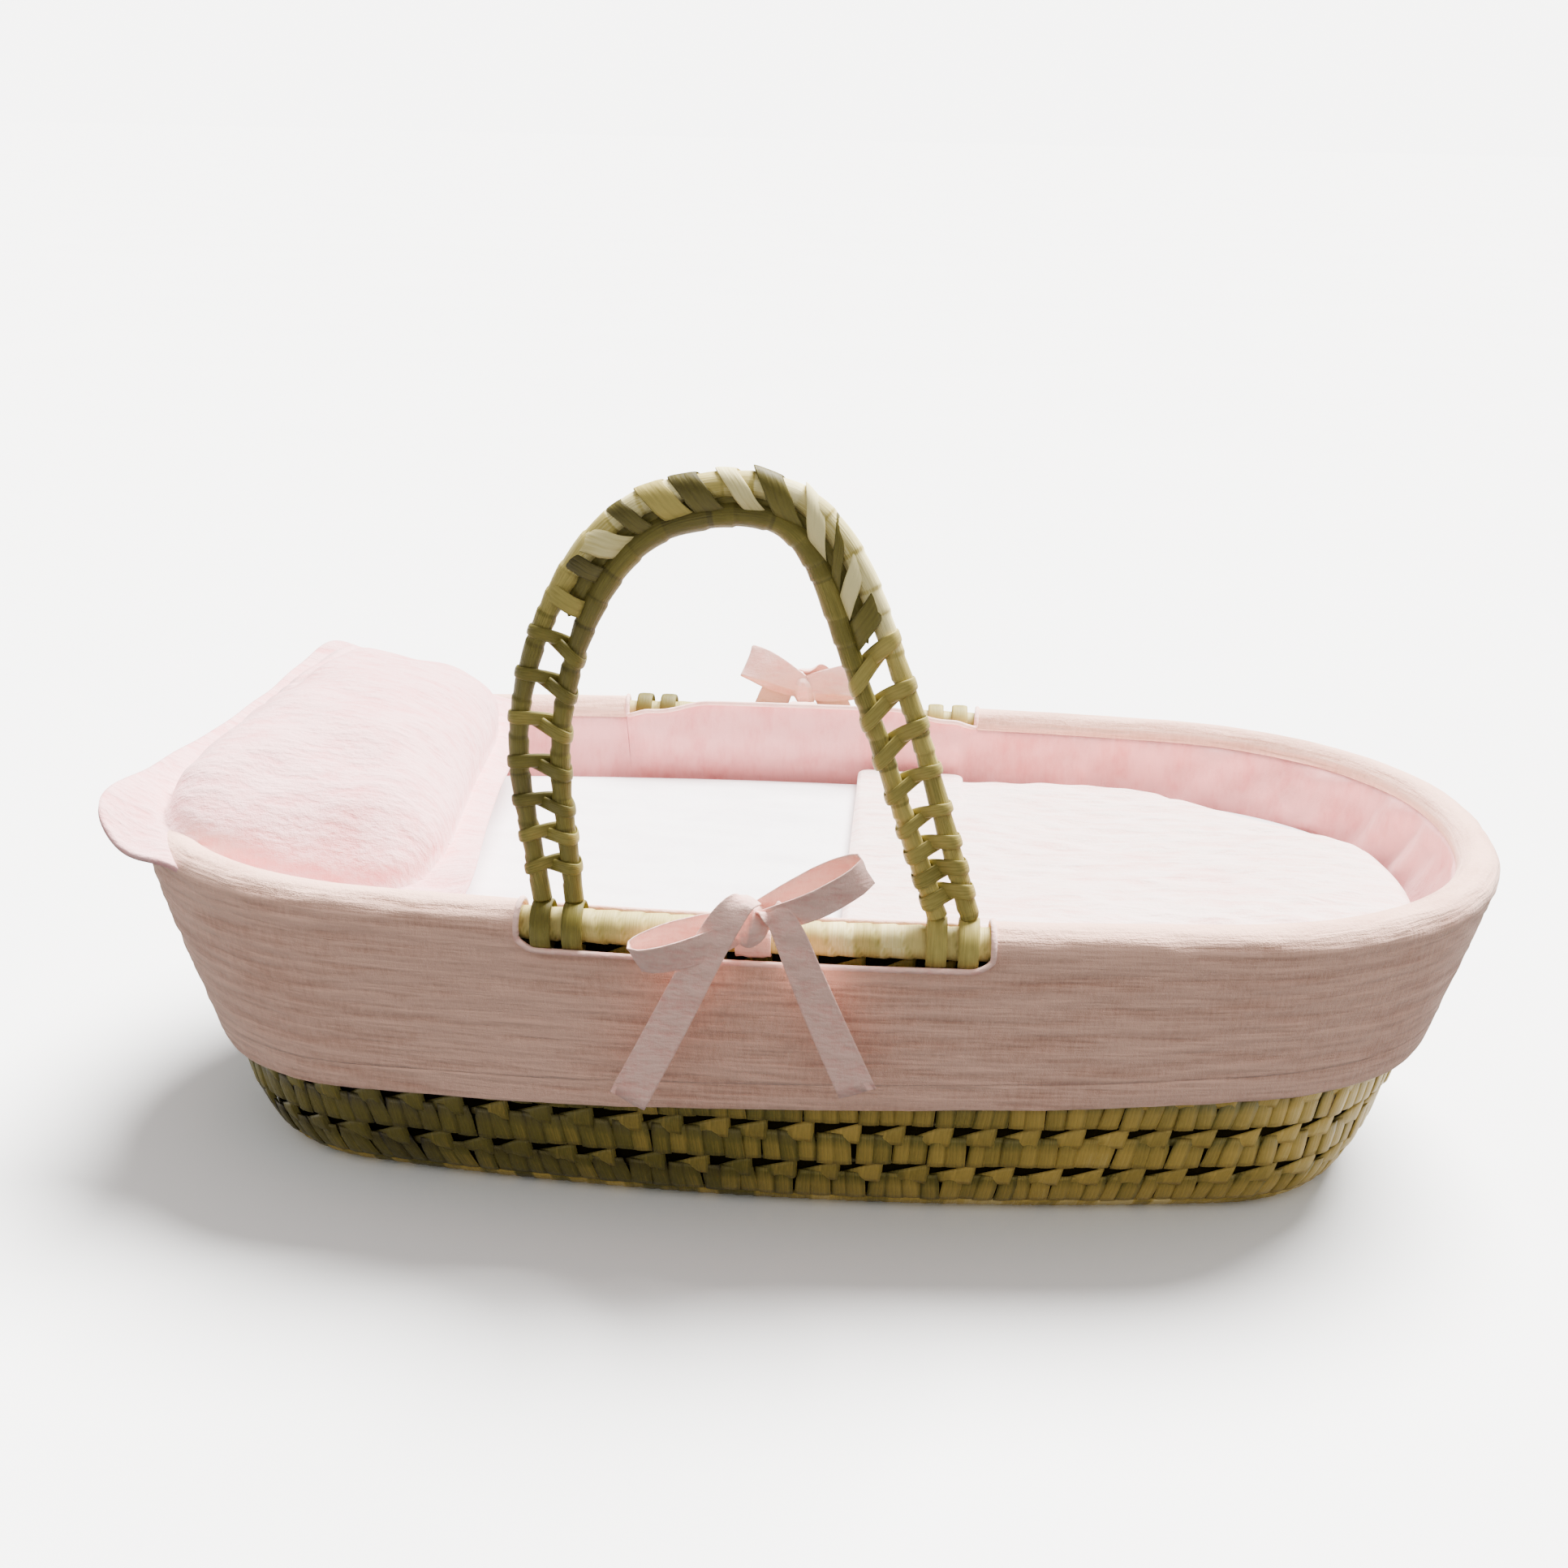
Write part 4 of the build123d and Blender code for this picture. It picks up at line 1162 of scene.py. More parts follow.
@dataclass
class Handle:
    """A folding handle: two wound cords in an arch, linked along the legs and lashed along the grip."""

    side: Side
    fold: float
    wall: WallForm
    middle: float = -0.020
    half_span: float = 0.105
    rise: float = 0.237
    cord: float = 0.007
    leg_cord: float = 0.0056
    eye: float = 0.0145
    foot_gap: float = 0.0015
    leg_gap: float = 0.0048
    crown_gap: float = 0.0004
    wind: float = 0.016
    link_places: tuple[float, ...] = (0.035, 0.068, 0.102, 0.140, 0.182, 0.224, 0.264, 0.732, 0.774, 0.815,
                                      0.856, 0.895, 0.925, 0.952, 0.978)
    lash_places: tuple[float, ...] = (0.31, 0.345, 0.375, 0.41, 0.445, 0.475, 0.515, 0.55, 0.59, 0.625,
                                      0.655, 0.69)

    def axes(self) -> tuple[Array, Array, Array, Array]:
        """The hinge's middle, and the arch's directions along the hinge, up the arch and through it."""
        feet = [self.wall.point(self.wall.share_at(self.middle + way * self.half_span, self.side),
                                self.wall.rim_height, 0.0)[1] for way in (-1, 1)]
        turn = math.radians(self.fold)
        over = np.array([-self.side.value, 0.0, 0.0])
        up = np.array([0.0, self.side.value * math.sin(turn), math.cos(turn)])
        return np.array([self.middle, sum(feet) / 2, self.wall.rim_height]), over, up, np.cross(over, up)

    def line(self, strand: Strand, count: int = 520) -> Array:
        """The line of a strand, in the frame.

        The middle's corner points are shares of the half span and the rise. The cords' corners stand off
        them by (radius + gap) / cos(half the turn), along the bisector, and a spline rounds them.
        """
        shares = ((-1.0, None), (-1.14, 0.51), (-0.74, 0.92), (-0.08, 1.0), (0.3, 0.93), (0.59, 0.61),
                  (1.0, None))
        spots = np.array([(u * self.half_span, self.eye if v is None else v * self.rise) for u, v in shares])
        gaps = self.cord + np.array([self.foot_gap, self.leg_gap, 3 * self.crown_gap, self.crown_gap,
                                     2 * self.crown_gap, self.leg_gap, self.foot_gap])
        runs = unit(np.diff(spots, axis=0))
        bisect = unit(runs[1:] + runs[:-1])
        outward = np.stack([-bisect[:, 1], bisect[:, 0]], -1)
        half_cos = np.sqrt((1 + (runs[1:] * runs[:-1]).sum(-1)) / 2)
        away = np.zeros_like(spots)
        away[1:-1] = outward * (gaps[1:-1] / half_cos)[:, None]
        away[0], away[-1] = (-gaps[0], 0), (gaps[-1], 0)
        flat = curve_through(spots + strand.value * away, count)
        hinge, over, up, _ = self.axes()
        return hinge + flat[:, :1] * over + flat[:, 1:] * up

    def wound_cord(self, strand: Strand, seed: int) -> Patchwork:
        """A cord wound with lapped leaf, down to a strap eye round the coil at each foot.

        The radius is 5.6 mm on the legs and swells to the cord's full radius over the grip, less 0.7 mm
        of a saw of run / pitch + 0.12 sin(angle), with uneven pitch. Over the grip the outer cord is
        painted paler, a painted highlight where the sun falls on its top, and the inner one darker, painted
        shade; each lap's edge is painted darker, as the shade in the step under the lap.
        """
        line = self.line(strand)
        total = running(line)[-1]
        _, over, _, through = self.axes()
        draw = np.random.default_rng(seed)
        knots = np.cumsum(draw.uniform(0.5, 1.5, 90)) * self.wind
        steps = np.arange(90)

        def radius(run: Array, angle: Array) -> Array:
            """Radius at a run along the cord and an angle round it."""
            grip = ease(0.25 * total, 0.36 * total, np.minimum(run, total - run))
            lap = saw(np.interp(run, knots, steps) + 0.12 * np.sin(angle + 0.5), 0.12)
            return self.leg_cord + (self.cord - self.leg_cord) * grip - 0.7 * MM * (1 - lap)

        grid = tube(line, through, radius, 18)
        run = np.linspace(0, total, len(grid))
        phase = np.interp(run, knots, steps)
        grip = ease(0.22 * total, 0.34 * total, np.minimum(run, total - run))
        # Painted shade on each lap's edge; over the grip, painted highlight on the sunlit outer cord and
        # painted shade on the inner one.
        tone = 0.30 + 0.22 * draw.random(92)[phase.astype(int)] - 0.1 * ((phase % 1.0) > 0.9)
        tone = tone + (0.16 + 0.28 * strand.value) * grip
        work = Patchwork().add(grid, (0.044, total), ring=True, tone=tone[None, :, None])
        for end in (0, -1):
            work.add(self.eye_strap(line[end], over), (0.03, 0.09), ring=True, hoop=True, tone=0.45)
        return work

    def eye_strap(self, foot: Array, over: Array) -> Array:
        """The strap eye at a foot: a flat ring about the hinge line, 11 mm wide and 2.4 mm thick."""
        hinge, _, up, through = self.axes()
        centre = hinge + over * ((foot - hinge) @ over)
        angle = turns(40)[:, None, None]
        section = turns(14)[None, :, None]
        radius = 0.0132 + 1.2 * MM * np.sin(section)
        along = 0.0055 * squared(np.cos(section), 0.6)
        return centre + radius * (np.cos(angle) * up + np.sin(angle) * through) + along * over

    def frames(self, places: tuple[float, ...]) -> tuple[Array, Array, Array, Array]:
        """The arch's middle, its directions along and across, and half the cords' distance, at shares."""
        outer, inner = self.line(Strand.OUTER), self.line(Strand.INNER)
        spots = (np.array(places) * (len(outer) - 1)).astype(int)
        middle = (outer + inner) / 2
        along = unit(np.gradient(middle, axis=0))[spots]
        apart = (outer - inner)[spots]
        return middle[spots], along, unit(apart), np.linalg.norm(apart, axis=-1) / 2

    def links(self) -> Patchwork:
        """The leaf links of the legs: each is a strip in a figure of eight round both cords.

        Across the cords it is (half distance + 6.2 mm) cos t, through the arch 6.6 mm sin 2t, and along
        the leg a slant of 1.5 to 3.5 mm cos t with an arch of 2.5 mm where the strands cross.
        """
        middle, along, apart, half = self.frames(self.link_places)
        _, _, _, through = self.axes()
        t = turns(56)[None, :, None]
        draw = np.random.default_rng(60 + self.side.value)
        upward = np.where(np.array(self.link_places) < 0.5, 1, -1)[:, None, None]
        slant = draw.uniform(1.5, 3.5, len(middle))[:, None, None] * MM
        shift = upward * (2.5 * MM * np.sin(t) ** 2 + 1.2 * MM * np.sin(t)) - slant * np.cos(t)
        centre = (middle[:, None] + (half[:, None, None] + 6.2 * MM) * np.cos(t) * apart[:, None]
                  + 6.6 * MM * np.sin(2 * t) * through + shift * along[:, None])
        tangent = unit(np.roll(centre, -1, 1) - np.roll(centre, 1, 1))
        wide = unit(along[:, None] - (along[:, None] * tangent).sum(-1, keepdims=True) * tangent)
        deep = np.cross(tangent, wide)
        narrow = (1 - 0.25 * np.cos(t) ** 4)[..., None]
        width = draw.uniform(3.4, 4.6, len(middle))[:, None, None, None] * MM * narrow
        thick = (0.6 + 0.9 * np.sin(t) ** 4)[..., None] * MM
        grid = bands(centre, wide, deep, width, thick)
        tone = draw.uniform(0.34, 0.56, len(middle))
        return Patchwork().add(grid, (0.02, 0.12), ring=True, hoop=True, tone=tone)

    def lashings(self) -> Patchwork:
        """The leaf lashings of the grip: slanting flat strips over the outer cord that close the gap to
        the inner one, painted pale and dark in turn: painted sunlight on one, painted shade on the next.

        A strip's middle goes round an oval about a point 4.2 mm outwards of the arch's middle: 11 mm
        cos a across and 7.7 mm sin a through. It slants along the grip by 6 to 10 mm cos a, and by down
        to a quarter of that at the grip's ends.
        """
        middle, along, apart, _ = self.frames(self.lash_places)
        _, _, _, through = self.axes()
        draw = np.random.default_rng(80 + self.side.value)
        angle = turns(44)[None, :, None]
        inward = np.minimum(np.array(self.lash_places) - 0.29, 0.71 - np.array(self.lash_places))
        slant = (draw.uniform(6, 10, len(middle)) * np.clip(inward / 0.07, 0.25, 1))[:, None, None] * MM
        across = 4.2 * MM + 11.0 * MM * squared(np.cos(angle), 0.85)
        deep_way = 7.7 * MM * np.sin(angle)
        centre = (middle[:, None] + across * apart[:, None] + deep_way * through
                  - slant * np.cos(angle) * along[:, None])
        outward = unit((across - 4.2 * MM) * apart[:, None] + 2 * deep_way * through)
        width = draw.uniform(4.5, 8.0, len(middle))[:, None, None, None] * MM
        grid = bands(centre, along[:, None], outward, width, 0.5 * MM)
        # Painted light: every other lashing is pale as if sunlit, and the ones between are dark as shade.
        tone = np.where(np.arange(len(middle)) % 2 == 0, 0.82, 0.12) + draw.uniform(-0.12, 0.12, len(middle))
        return Patchwork().add(grid, (0.02, 0.09), ring=True, hoop=True, tone=tone)

    def web(self) -> Patchwork:
        """The leaf between the grip's cords: a flat filler along the arch's middle, 6.4 mm thick, thinned
        out at both ends."""
        middle, _, apart, half = self.frames(tuple(np.linspace(0.295, 0.712, 120)))
        _, _, _, through = self.axes()
        angle = turns(10)[None, :, None]
        ends = np.minimum(1, np.linspace(0, 12, 120) * np.linspace(12, 0, 120) / 8)[:, None, None]
        wide, thick = (half[:, None, None] - 0.5 * self.leg_cord) * ends, 3.2 * MM * ends
        grid = middle[:, None] + wide * np.cos(angle) * apart[:, None] + thick * np.sin(angle) * through
        grid = np.concatenate([np.repeat(middle[:1, None], 10, 1), grid, np.repeat(middle[-1:, None], 10, 1)])
        return Patchwork().add(grid, (0.02, 0.28), ring=True, tone=0.3)

    def build(self, palette: Palette) -> None:
        """Build the handle's pieces on its own body."""
        word, seed = self.side.word, self.side.value
        body = f"{word}_handle"
        works = {("wound_outer_cord", "outer_cord"): self.wound_cord(Strand.OUTER, 3 + seed),
                 ("wound_inner_cord", "inner_cord"): self.wound_cord(Strand.INNER, 4 + seed),
                 ("leaf_links", "links"): self.links(), ("leaf_lashings", "ties"): self.lashings()}
        for (name, node), work in works.items():
            Piece(f"{word}_{name}", body, "palm_cord", (f"{body}_{node}",)).place(work, palette.winding)
        Piece(f"{word}_leaf_web", body, "palm_cord").place(self.web(), palette.winding)


# ---- Bedding --------------------------------------------------------------------------------------


@dataclass
class Mattress:
    """The mattress in its fitted sheet: two foam layers, rounded edges and a few soft creases."""

    wall: WallForm
    low: float
    high: float
    split: float = 0.075
    edge_gap: float = 0.0165
    edge_radius: float = 0.011
    cover: float = 0.0026
    rings: int = 45

    def slab(self, low: float, high: float, inset: float, rounds: tuple[float, float]) -> Array:
        """An oval slab: rows run from the middle of its underside to the middle of its top, and follow a
        quarter circle at each edge.

        Args:
            low: height of its underside.
            high: height of its top.
            inset: distance of its side inside the wall's middle.
            rounds: radius of its lower and upper edge.

        Returns:
            A grid of points.
        """
        turn = np.linspace(0, math.pi / 2, 8)
        inward, upward = 1 - np.sin(turn), 1 - np.cos(turn)
        gap = np.concatenate([rounds[0] * inward, rounds[1] * inward[::-1]])[:, None] + inset
        height = np.concatenate([low + rounds[0] * upward, high - rounds[1] * upward[::-1]])[:, None]
        share = whole_way(360)
        side = self.wall.point(share, height, -gap)
        inner = np.linspace(0, 1, self.rings + 1)[:-1, None, None]
        under = side[:1] * np.array([1, 1, 0]) * inner + np.array([0, 0, 1]) * side[:1]
        top = side[-1:] * np.array([1, 1, 0]) * inner[::-1] + np.array([0, 0, 1]) * side[-1:]
        return np.concatenate([under, side, top])

    def sheeted(self) -> Array:
        """The sheeted slab, its bare part of the top lifted by creases and broad folds.

        A crease is 1.4 mm exp(-(distance / 12 mm)^2) from a slanting line, and the folds are ripples.
        """
        grid = self.slab(self.low, self.high, self.edge_gap, (self.edge_radius, self.edge_radius))
        top = grid[-self.rings:]
        reach = np.linspace(1, 0, self.rings + 1)[1:, None]
        bare = ease(1.0, 0.93, reach) * ease(0.03, -0.01, top[..., 0])
        fold = ripple(top, 0.09, 51, (0.7, 1.8, 1)) + 0.6 * ripple(top, 0.035, 52, (0.6, 1.5, 1))
        crease = np.exp(-(((top[..., 1] + 0.105 + 0.25 * (top[..., 0] + 0.1)) / 0.012) ** 2))
        top[..., 2] += bare * MM * (1.6 + 0.9 * fold - 1.4 * crease)
        return grid

    def build(self, palette: Palette) -> None:
        """Build both foam layers and the sheeted pad over them."""
        inset, middle = self.edge_gap + self.cover, self.low + self.split
        firm = self.slab(self.low + self.cover, middle, inset, (self.edge_radius, 0.0005))
        soft = self.slab(middle + 0.3 * MM, self.high - self.cover, inset, (0.0005, self.edge_radius))
        for name, grid in (("firm", firm), ("soft", soft)):
            layer = Piece(f"{name}_foam", "mattress", "foam", (f"mattress_{name}_layer",)).skin(
                grid, (2.0, 0.5), palette.foam)
        pad = Piece("sheeted_mattress", "mattress", "white_cotton", ("mattress_sheet",)).skin(
            self.sheeted(), (2.0, 0.5), palette.sheet)


@dataclass
class Quilt:
    """The quilt over the foot end, and its turned-back cuff: puffed cotton that puckers at its edges."""

    wall: WallForm
    bed: float
    thickness: float = 0.008
    cuff_thickness: float = 0.0034
    head: float = 0.025
    cuff_length: float = 0.072
    edge_gap: float = 0.0195
    cut_way: tuple[float, float] = (0.60, 0.80)
    cut_reach: float = 0.272
    lift: float = 0.0006

    def outline(self, start: float, stop: float, count: int) -> Array:
        """The outline in plan: the mattress's oval, cut straight at the head and slantwise at the far foot
        corner, with the corners rounded by smoothing the closed line.

        Args:
            start: x of the head edge.
            stop: x beyond which nothing is kept.
            count: points round it.

        Returns:
            Points in plan.
        """
        share = np.linspace(0, 1, 1441)[:-1]
        oval = self.wall.point(share, self.bed, -self.edge_gap)[:, :2]
        over = np.maximum(oval @ np.array(self.cut_way) - self.cut_reach, 0)
        oval = oval - over[:, None] * np.array(self.cut_way)
        oval[:, 0] = np.clip(oval[:, 0], start, stop)
        return smoothed(evenly(np.concatenate([oval, oval[:1]]), count + 1)[:-1], 15)

    def pad(self, outline: Array, low: float, thick: float, relief: Callable[[Array, Array], Array]) -> Array:
        """A puffed pad over an outline: rings drawn in to its middle, the top raised, the underside flat.

        The height is low + thick * (1 - (1 - d)^2.2) with d the depth into the pad over 14 mm, at most 1,
        plus the relief.

        Args:
            outline: points in plan.
            low: height of its underside.
            thick: thickness away from the edge.
            relief: uneven height added on top, from the points and the distance from the edge.

        Returns:
            A grid, rows from the middle of the underside to the middle of the top.
        """
        centre = outline.mean(0)
        reach = np.concatenate([np.linspace(0, 0.9, 12), np.linspace(0.92, 1, 6),
                                1 - np.linspace(0, 1, 66) ** 1.5])
        flat = centre + reach[:, None, None] * (outline - centre)[None]
        depth = (1 - reach[:, None]) * np.linalg.norm(outline - centre, axis=1)[None, :]
        upper = np.arange(len(reach))[:, None] >= 18
        puff = 1 - (1 - np.clip(depth / 0.014, 0, 1)) ** 2.2
        height = np.where(upper, low + thick * (0.12 + 0.88 * puff), low + 0.12 * thick * (1 - puff))
        grid = np.stack([flat[..., 0], flat[..., 1], height], -1)
        grid[..., 2] += np.where(upper, relief(grid, depth) * ease(0.0, 0.012, depth), 0.0)
        return grid

    def quilt_relief(self, grid: Array, depth: Array) -> Array:
        """Relief of the quilt: broad swells, short crosswise puckers, and gathers by the near foot."""
        x, y = grid[..., 0], grid[..., 1]
        swell = 2.2 * MM * (0.6 + ripple(grid, 0.15, 61))
        pucker = 0.75 * MM * ripple(grid, 0.024, 62, (0.8, 1.6, 1), 16)
        gather = np.exp(-(((x - 0.25) / 0.06) ** 2) - ((y + 0.125) / 0.040) ** 2)
        wave = np.sin(2 * math.pi * (y + 0.30 * x + 0.004 * np.sin(40 * x)) / 0.015)
        return swell + pucker + gather * (2.6 * MM * wave - 3.0 * MM) - 1.2 * MM * np.exp(-depth / 0.02)

    def cuff_relief(self, grid: Array, depth: Array) -> Array:
        """Relief of the cuff: puckers across it, deeper by its stitched edge."""
        pucker = ripple(grid, 0.016, 63, (0.5, 1.6, 1), 14)
        return 0.5 * MM * pucker + 0.8 * MM * ripple(grid, 0.10, 64) - 0.5 * MM * np.exp(-depth / 0.01)

    def build(self, palette: Palette) -> None:
        """Build the quilt and its cuff on the quilt's body."""
        whole = self.outline(self.head, 1.0, 420)
        quilt = self.pad(whole, self.bed + self.lift, self.thickness, self.quilt_relief)
        made = Piece("puffed_quilt", "quilt", "white_cotton", ("quilt",)).skin(
            quilt, (1.2, 0.4), palette.quilt)
        band = self.outline(self.head - 0.002, self.head + self.cuff_length, 420)
        low = self.bed + self.lift + self.thickness
        cuff = self.pad(band, low, self.cuff_thickness, self.cuff_relief)
        made = Piece("turned_cuff", "quilt", "white_cotton", ("quilt_cuff",)).skin(
            cuff, (0.9, 0.1), palette.quilt)


@dataclass
class Pillow:
    """The pillow in its flanged case, leaning on the head end with two corners over the rim."""

    length: float = 0.245
    width: float = 0.344
    flange: float = 0.024
    thickness: float = 0.050
    flange_thickness: float = 0.0032
    corners: tuple[tuple[float, float, float], ...] = (
        (-0.416, -0.146, 0.222), (-0.366, 0.212, 0.236), (-0.184, -0.160, 0.176), (-0.206, 0.186, 0.192))

    def sheet(self, u: Array, v: Array) -> tuple[Array, Array]:
        """The bent middle sheet of the case and its normal.

        The sheet is the blend of the four corners. Its far side is drawn in by 14 mm between them, its
        near side moves out by 10 mm and sags by 30 mm behind the rim, and its head edge sags by 10 mm.

        Args:
            u: -1 at the head edge to 1 at the foot edge.
            v: -1 at the near edge to 1 at the far edge.

        Returns:
            Points, and the direction of the sheet's upper side.
        """
        near_head, far_head, near_foot, far_foot = (np.array(c) for c in self.corners)
        head = near_head + (far_head - near_head) * ((1 + v) / 2)[..., None]
        foot = near_foot + (far_foot - near_foot) * ((1 + v) / 2)[..., None]
        grid = head + (foot - head) * ((1 + u) / 2)[..., None]
        grid[..., 0] += 0.013 * (1 - v**2) * -np.sign(u) * u**2 * 0.6
        grid[..., 1] -= 0.014 * (1 - u**2) * np.maximum(v, 0) ** 2
        sag = (1 - u**2) * np.maximum(-v, 0) ** 1.5
        grid[..., 1] -= 0.010 * sag
        grid[..., 2] -= 0.030 * sag
        droop = 0.006 * np.abs(u * v) ** 3 * (u < 0) * (v < 0)
        grid[..., 2] -= 0.010 * (1 - v**2) * ease(0.3, -1.0, u) + droop
        return grid, unit(np.cross(foot - head, far_head - near_head))

    def pad(self, size: float, skin: float, ripples: float) -> Array:
        """A pad in the pillow's shape: rings from the middle of its underside, out to its edge and back.

        Its half height is half the thickness, or 0.84 of it above, times (1 - r^2.6)^0.5, with r
        measured on a squared circle to the flange's seam, plus the skin.

        Args:
            size: share of the case's plan that its edge reaches.
            skin: half thickness at the edge.
            ripples: share of the case's wrinkles and flange waves.

        Returns:
            A grid of points.
        """
        angle = turns(360)[None, :]
        out = size * np.concatenate([np.linspace(0, 1, 64), np.linspace(1, 0, 64)])[:, None] ** 0.85
        upper = np.concatenate([-np.ones(64), np.ones(64)])[:, None]
        cos, sin = np.cos(angle), np.sin(angle)
        square = (np.abs(cos) ** 9 + np.abs(sin) ** 9) ** (-1 / 9)
        u, v = out * square * cos, out * square * sin
        grid, normal = self.sheet(u, v)
        body_u = np.abs(u) / (1 - 2 * self.flange / self.length)
        body_v = np.abs(v) / (1 - 2 * self.flange / self.width)
        seam = (body_u**5 + body_v**5) ** (1 / 5)
        puff = np.clip(1 - np.minimum(seam, 1) ** 2.6, 0, 1) ** 0.5
        flange_part = ease(0.96, 1.06, seam)
        stitch = -1.3 * MM * np.exp(-(((seam - 1.01) / 0.03) ** 2))
        wrinkle = ripple(grid, 0.05, 71, (1.4, 0.8, 1)) * 1.8 * MM * puff
        pull = 1.3 * MM * np.sin(47 * v + 9 * u + 6 * np.sin(5 * v + 2 * u)) * ease(0.6, 1.0, seam)
        pull *= (1 - flange_part) * np.clip(0.5 + 1.4 * ripple(grid, 0.10, 73), 0, 1)
        fold = (-5 * MM * np.exp(-(((u + 0.62 - 0.16 * v) / 0.045) ** 2))
                * np.exp(-(((v - 0.42) / 0.45) ** 2)))
        near = ease(-0.7, -0.95, v)
        swing = 3.4 * MM * near * np.sin(12 * u + 1) + 1.3 * MM * ripple(grid, 0.07, 72)
        wave = flange_part * swing * out**3
        lift = upper * (self.thickness * (0.5 + 0.34 * (upper > 0)) * puff + skin)
        lift += ripples * (np.where(upper > 0, wrinkle + pull + fold * puff + stitch, -stitch) + wave)
        return grid + lift[..., None] * normal

    def build(self, palette: Palette) -> None:
        """Build the insert and the flanged case over it."""
        insert = Piece("pillow_wadding", "pillow", "filling", ("pillow_insert",)).skin(
            self.pad(0.72, -0.009, 0.0), (0.8, 0.2), palette.wadding)
        case = Piece("flanged_pillow", "pillow", "white_cotton", ("pillow_case",)).skin(
            self.pad(1.0, self.flange_thickness / 2, 1.0), (1.1, 0.3), palette.pillow)


# ---- Studio ---------------------------------------------------------------------------------------


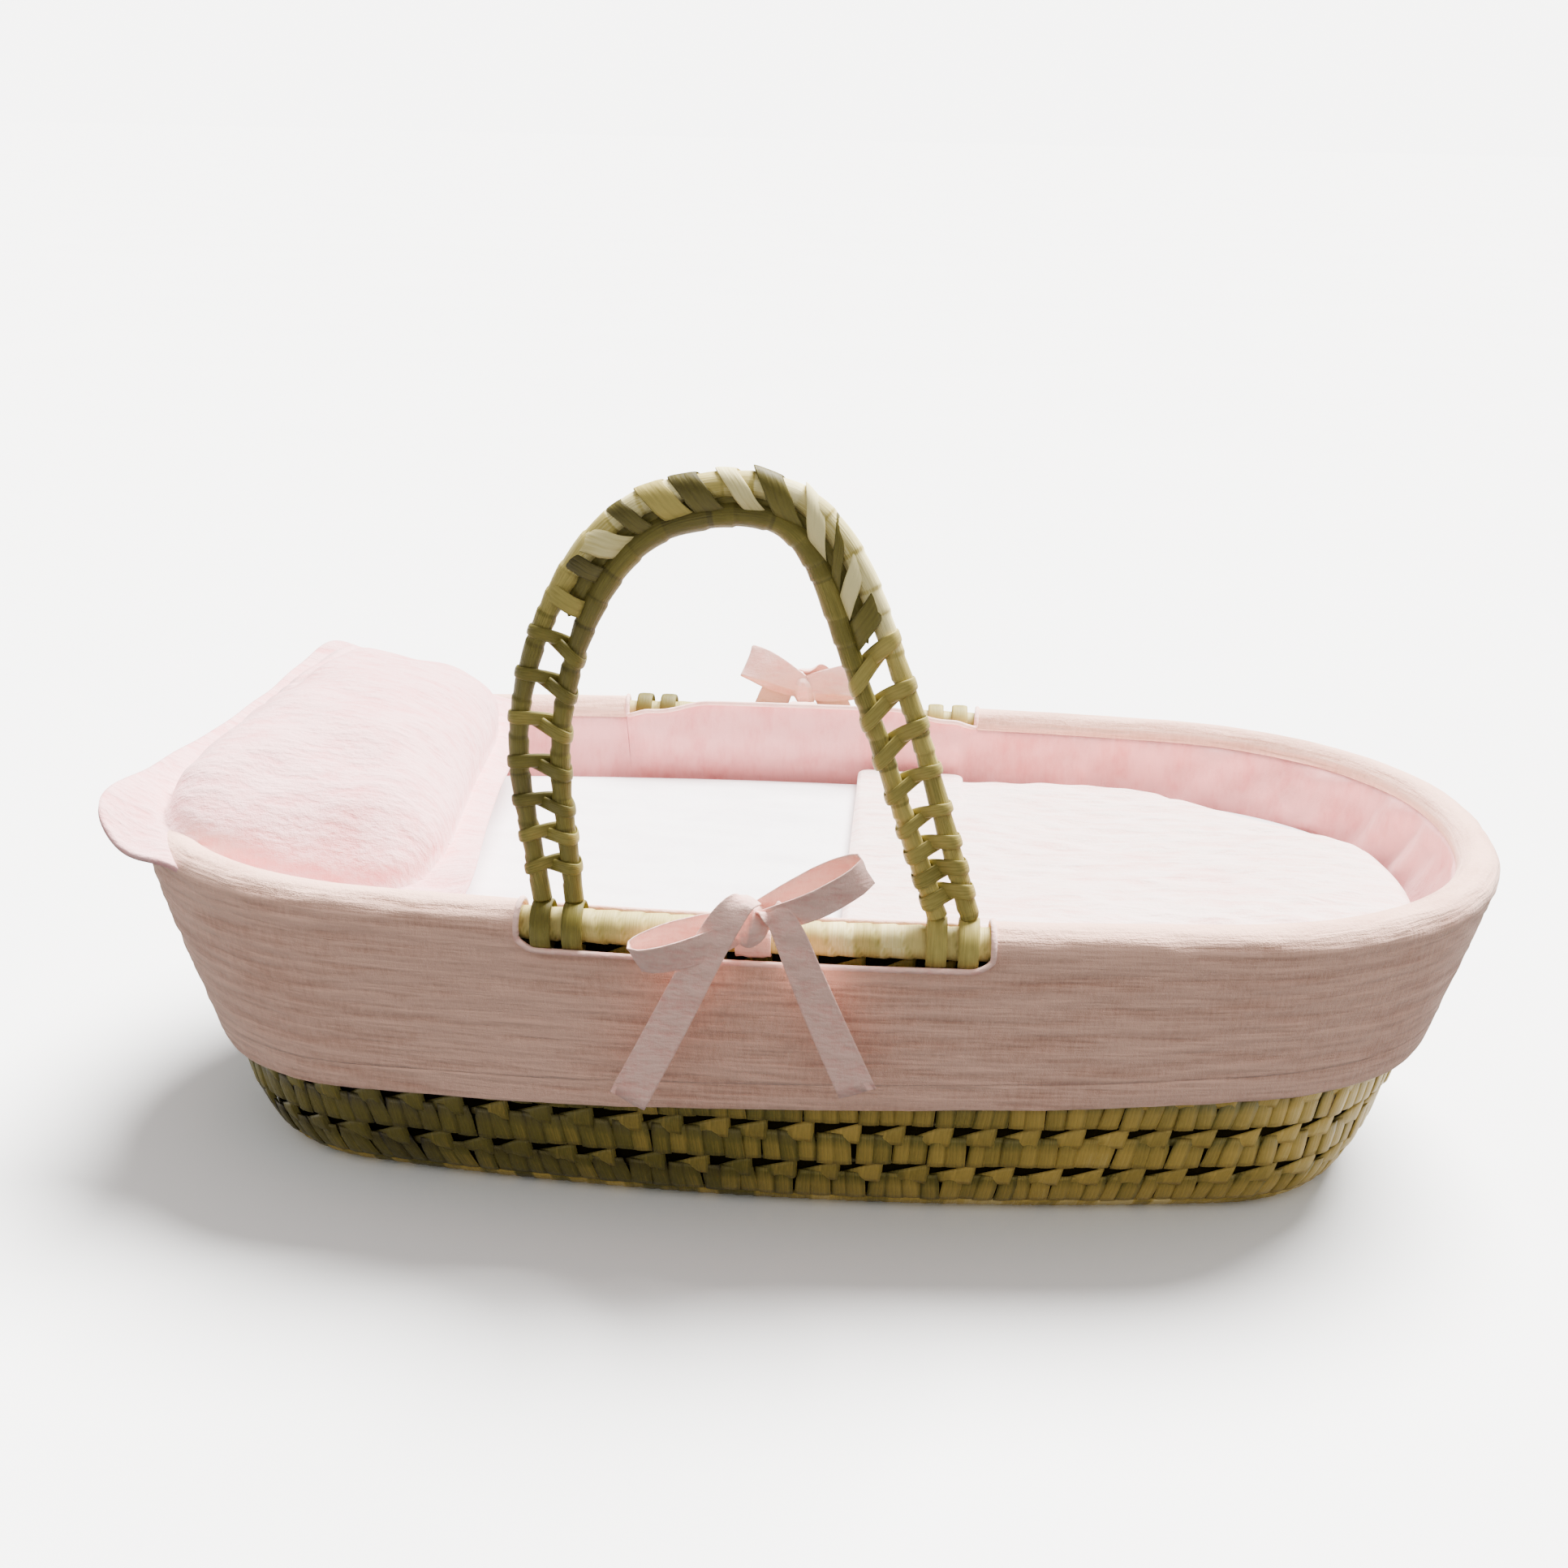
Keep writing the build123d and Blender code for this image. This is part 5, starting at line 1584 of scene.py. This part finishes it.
@dataclass(frozen=True)
class Studio:
    """The plain pale floor, the soft sun, the sky and the camera. The floor sends no light up, as grass
    would send little, so that the side towards the camera stays in shade."""

    azimuth: float = 3.5
    elevation: float = 17.8
    roll: float = 1.3
    distance: float = 1.300
    lens: float = 47.7
    aim: tuple[float, float, float] = (-0.019, 0.0, 0.203)
    key: float = 24.0
    fill: float = 0.95
    backdrop: float = 6.7

    def camera(self) -> None:
        """Place the camera on its direction from the aim point, turned about its own line of sight."""
        side, up = math.radians(self.azimuth), math.radians(self.elevation)
        back = np.array([math.sin(side) * math.cos(up), -math.cos(side) * math.cos(up), math.sin(up)])
        made = linked("camera", bpy.data.cameras.new("camera"))
        made.data.lens = self.lens
        made.location = np.array(self.aim) + back * self.distance
        look = Vector(-back).to_track_quat("-Z", "Y")
        made.rotation_mode = "QUATERNION"
        made.rotation_quaternion = look @ Quaternion((0, 0, 1), math.radians(self.roll))
        bpy.context.scene.camera = made

    def sun(self, name: str, way: tuple[float, float, float], strength: float, spread: float) -> None:
        """Add a wide soft sun.

        Args:
            name: the light's name.
            way: the direction that it shines from.
            strength: its irradiance.
            spread: the angle that it seems to fill, in degrees.
        """
        lamp = bpy.data.lights.new(name, "SUN")
        lamp.energy, lamp.angle, lamp.color = strength, math.radians(spread), (1, 0.985, 0.965)
        made = linked(name, lamp)
        made.location = way
        made.rotation_mode = "QUATERNION"
        made.rotation_quaternion = Vector(way).to_track_quat("Z", "Y")

    def floor(self) -> None:
        """Lay the floor: a wide, very slightly mottled plane."""
        graph = Graph("studio_floor")
        place = graph.node("TexCoord").outputs["Object"]
        clouds = graph.noise(place, 2.0)
        colour = graph.ramp(clouds, (0.3, (0.93, 0.93, 0.925)), (0.7, (0.95, 0.95, 0.945)))
        graph.surface(colour, clouds, 0.0002, 0.9, gloss=0.1)
        share = np.linspace(-60, 60, 3)
        x, y = np.meshgrid(share, share)
        work = Patchwork().add(np.stack([x, y, 0 * x - 0.2 * MM], -1), (18, 18))
        made = linked("studio_floor", work.mesh("studio_floor"))
        made.data.materials.append(graph.material)
        made.visible_diffuse = False

    def build(self) -> None:
        """Build the floor, the sky, the lights and the camera."""
        self.floor()
        world = bpy.data.worlds.new("studio")
        world.use_nodes = True
        nodes, links = world.node_tree.nodes, world.node_tree.links
        sky = nodes["Background"]
        sky.inputs[0].default_value = (1, 0.985, 0.965, 1)
        height = nodes.new("ShaderNodeSeparateXYZ")
        links.new(nodes.new("ShaderNodeTexCoord").outputs["Generated"], height.inputs[0])
        level = nodes.new("ShaderNodeMapRange")
        limits = {"From Min": -0.35, "From Max": 0.35, "To Min": 0.2 * self.fill, "To Max": self.fill}
        for name, value in limits.items():
            level.inputs[name].default_value = value
        links.new(height.outputs["Z"], level.inputs["Value"])
        seen = nodes.new("ShaderNodeLightPath")
        strength = nodes.new("ShaderNodeMix")
        strength.inputs["B"].default_value = self.backdrop
        links.new(level.outputs[0], strength.inputs["A"])
        links.new(seen.outputs["Is Camera Ray"], strength.inputs["Factor"])
        links.new(strength.outputs[0], sky.inputs[1])
        bpy.context.scene.world = world
        self.sun("key", (0.45, 0.75, 1.5), self.key, 38)
        self.camera()


def dress_hidden(palette: Palette) -> None:
    """Give the pieces that stay as packed their finishes: they lie inside the plait and the rim."""
    finishes = {"sewing_cords": (palette.stalks, "palm_cord"), "rim_core": (palette.stalks, "reed")}
    for name, (finish, slot) in finishes.items():
        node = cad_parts[name]
        node.data.materials.clear()
        node.data.materials.append(finish)


def main() -> None:
    """Build the basket in order, then the studio."""
    logging.basicConfig(level=logging.INFO, format="%(name)s: %(message)s")
    wall = WallForm()
    palette = Palette()
    coil_low, coil_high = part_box("rim_wrapping")
    coil_radius = (coil_high.z - coil_low.z) / 2
    for number in range(1, 7):
        low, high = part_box(f"wall_course_{number}")
        PlaitCourse(wall, number, low.z, high.z).build(palette)
    PlaitBase(wall).build(palette)
    RimCoil(wall, coil_radius).build(palette)
    Cover(wall, coil_radius).build(palette)
    Bow(Side.NEAR, wall, coil_radius, (204.0, 25.0)).build(palette)
    Bow(Side.FAR, wall, coil_radius, (176.0, 20.0), width=0.024, loop_length=0.046).build(palette)
    Handle(Side.NEAR, 0.0, wall).build(palette)
    Handle(Side.FAR, 110.0, wall).build(palette)
    pad_low, pad_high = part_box("mattress_sheet")
    Mattress(wall, pad_low.z, pad_high.z).build(palette)
    Quilt(wall, pad_high.z).build(palette)
    Pillow().build(palette)
    dress_hidden(palette)
    Studio().build()


if __name__ == "__main__":
    main()
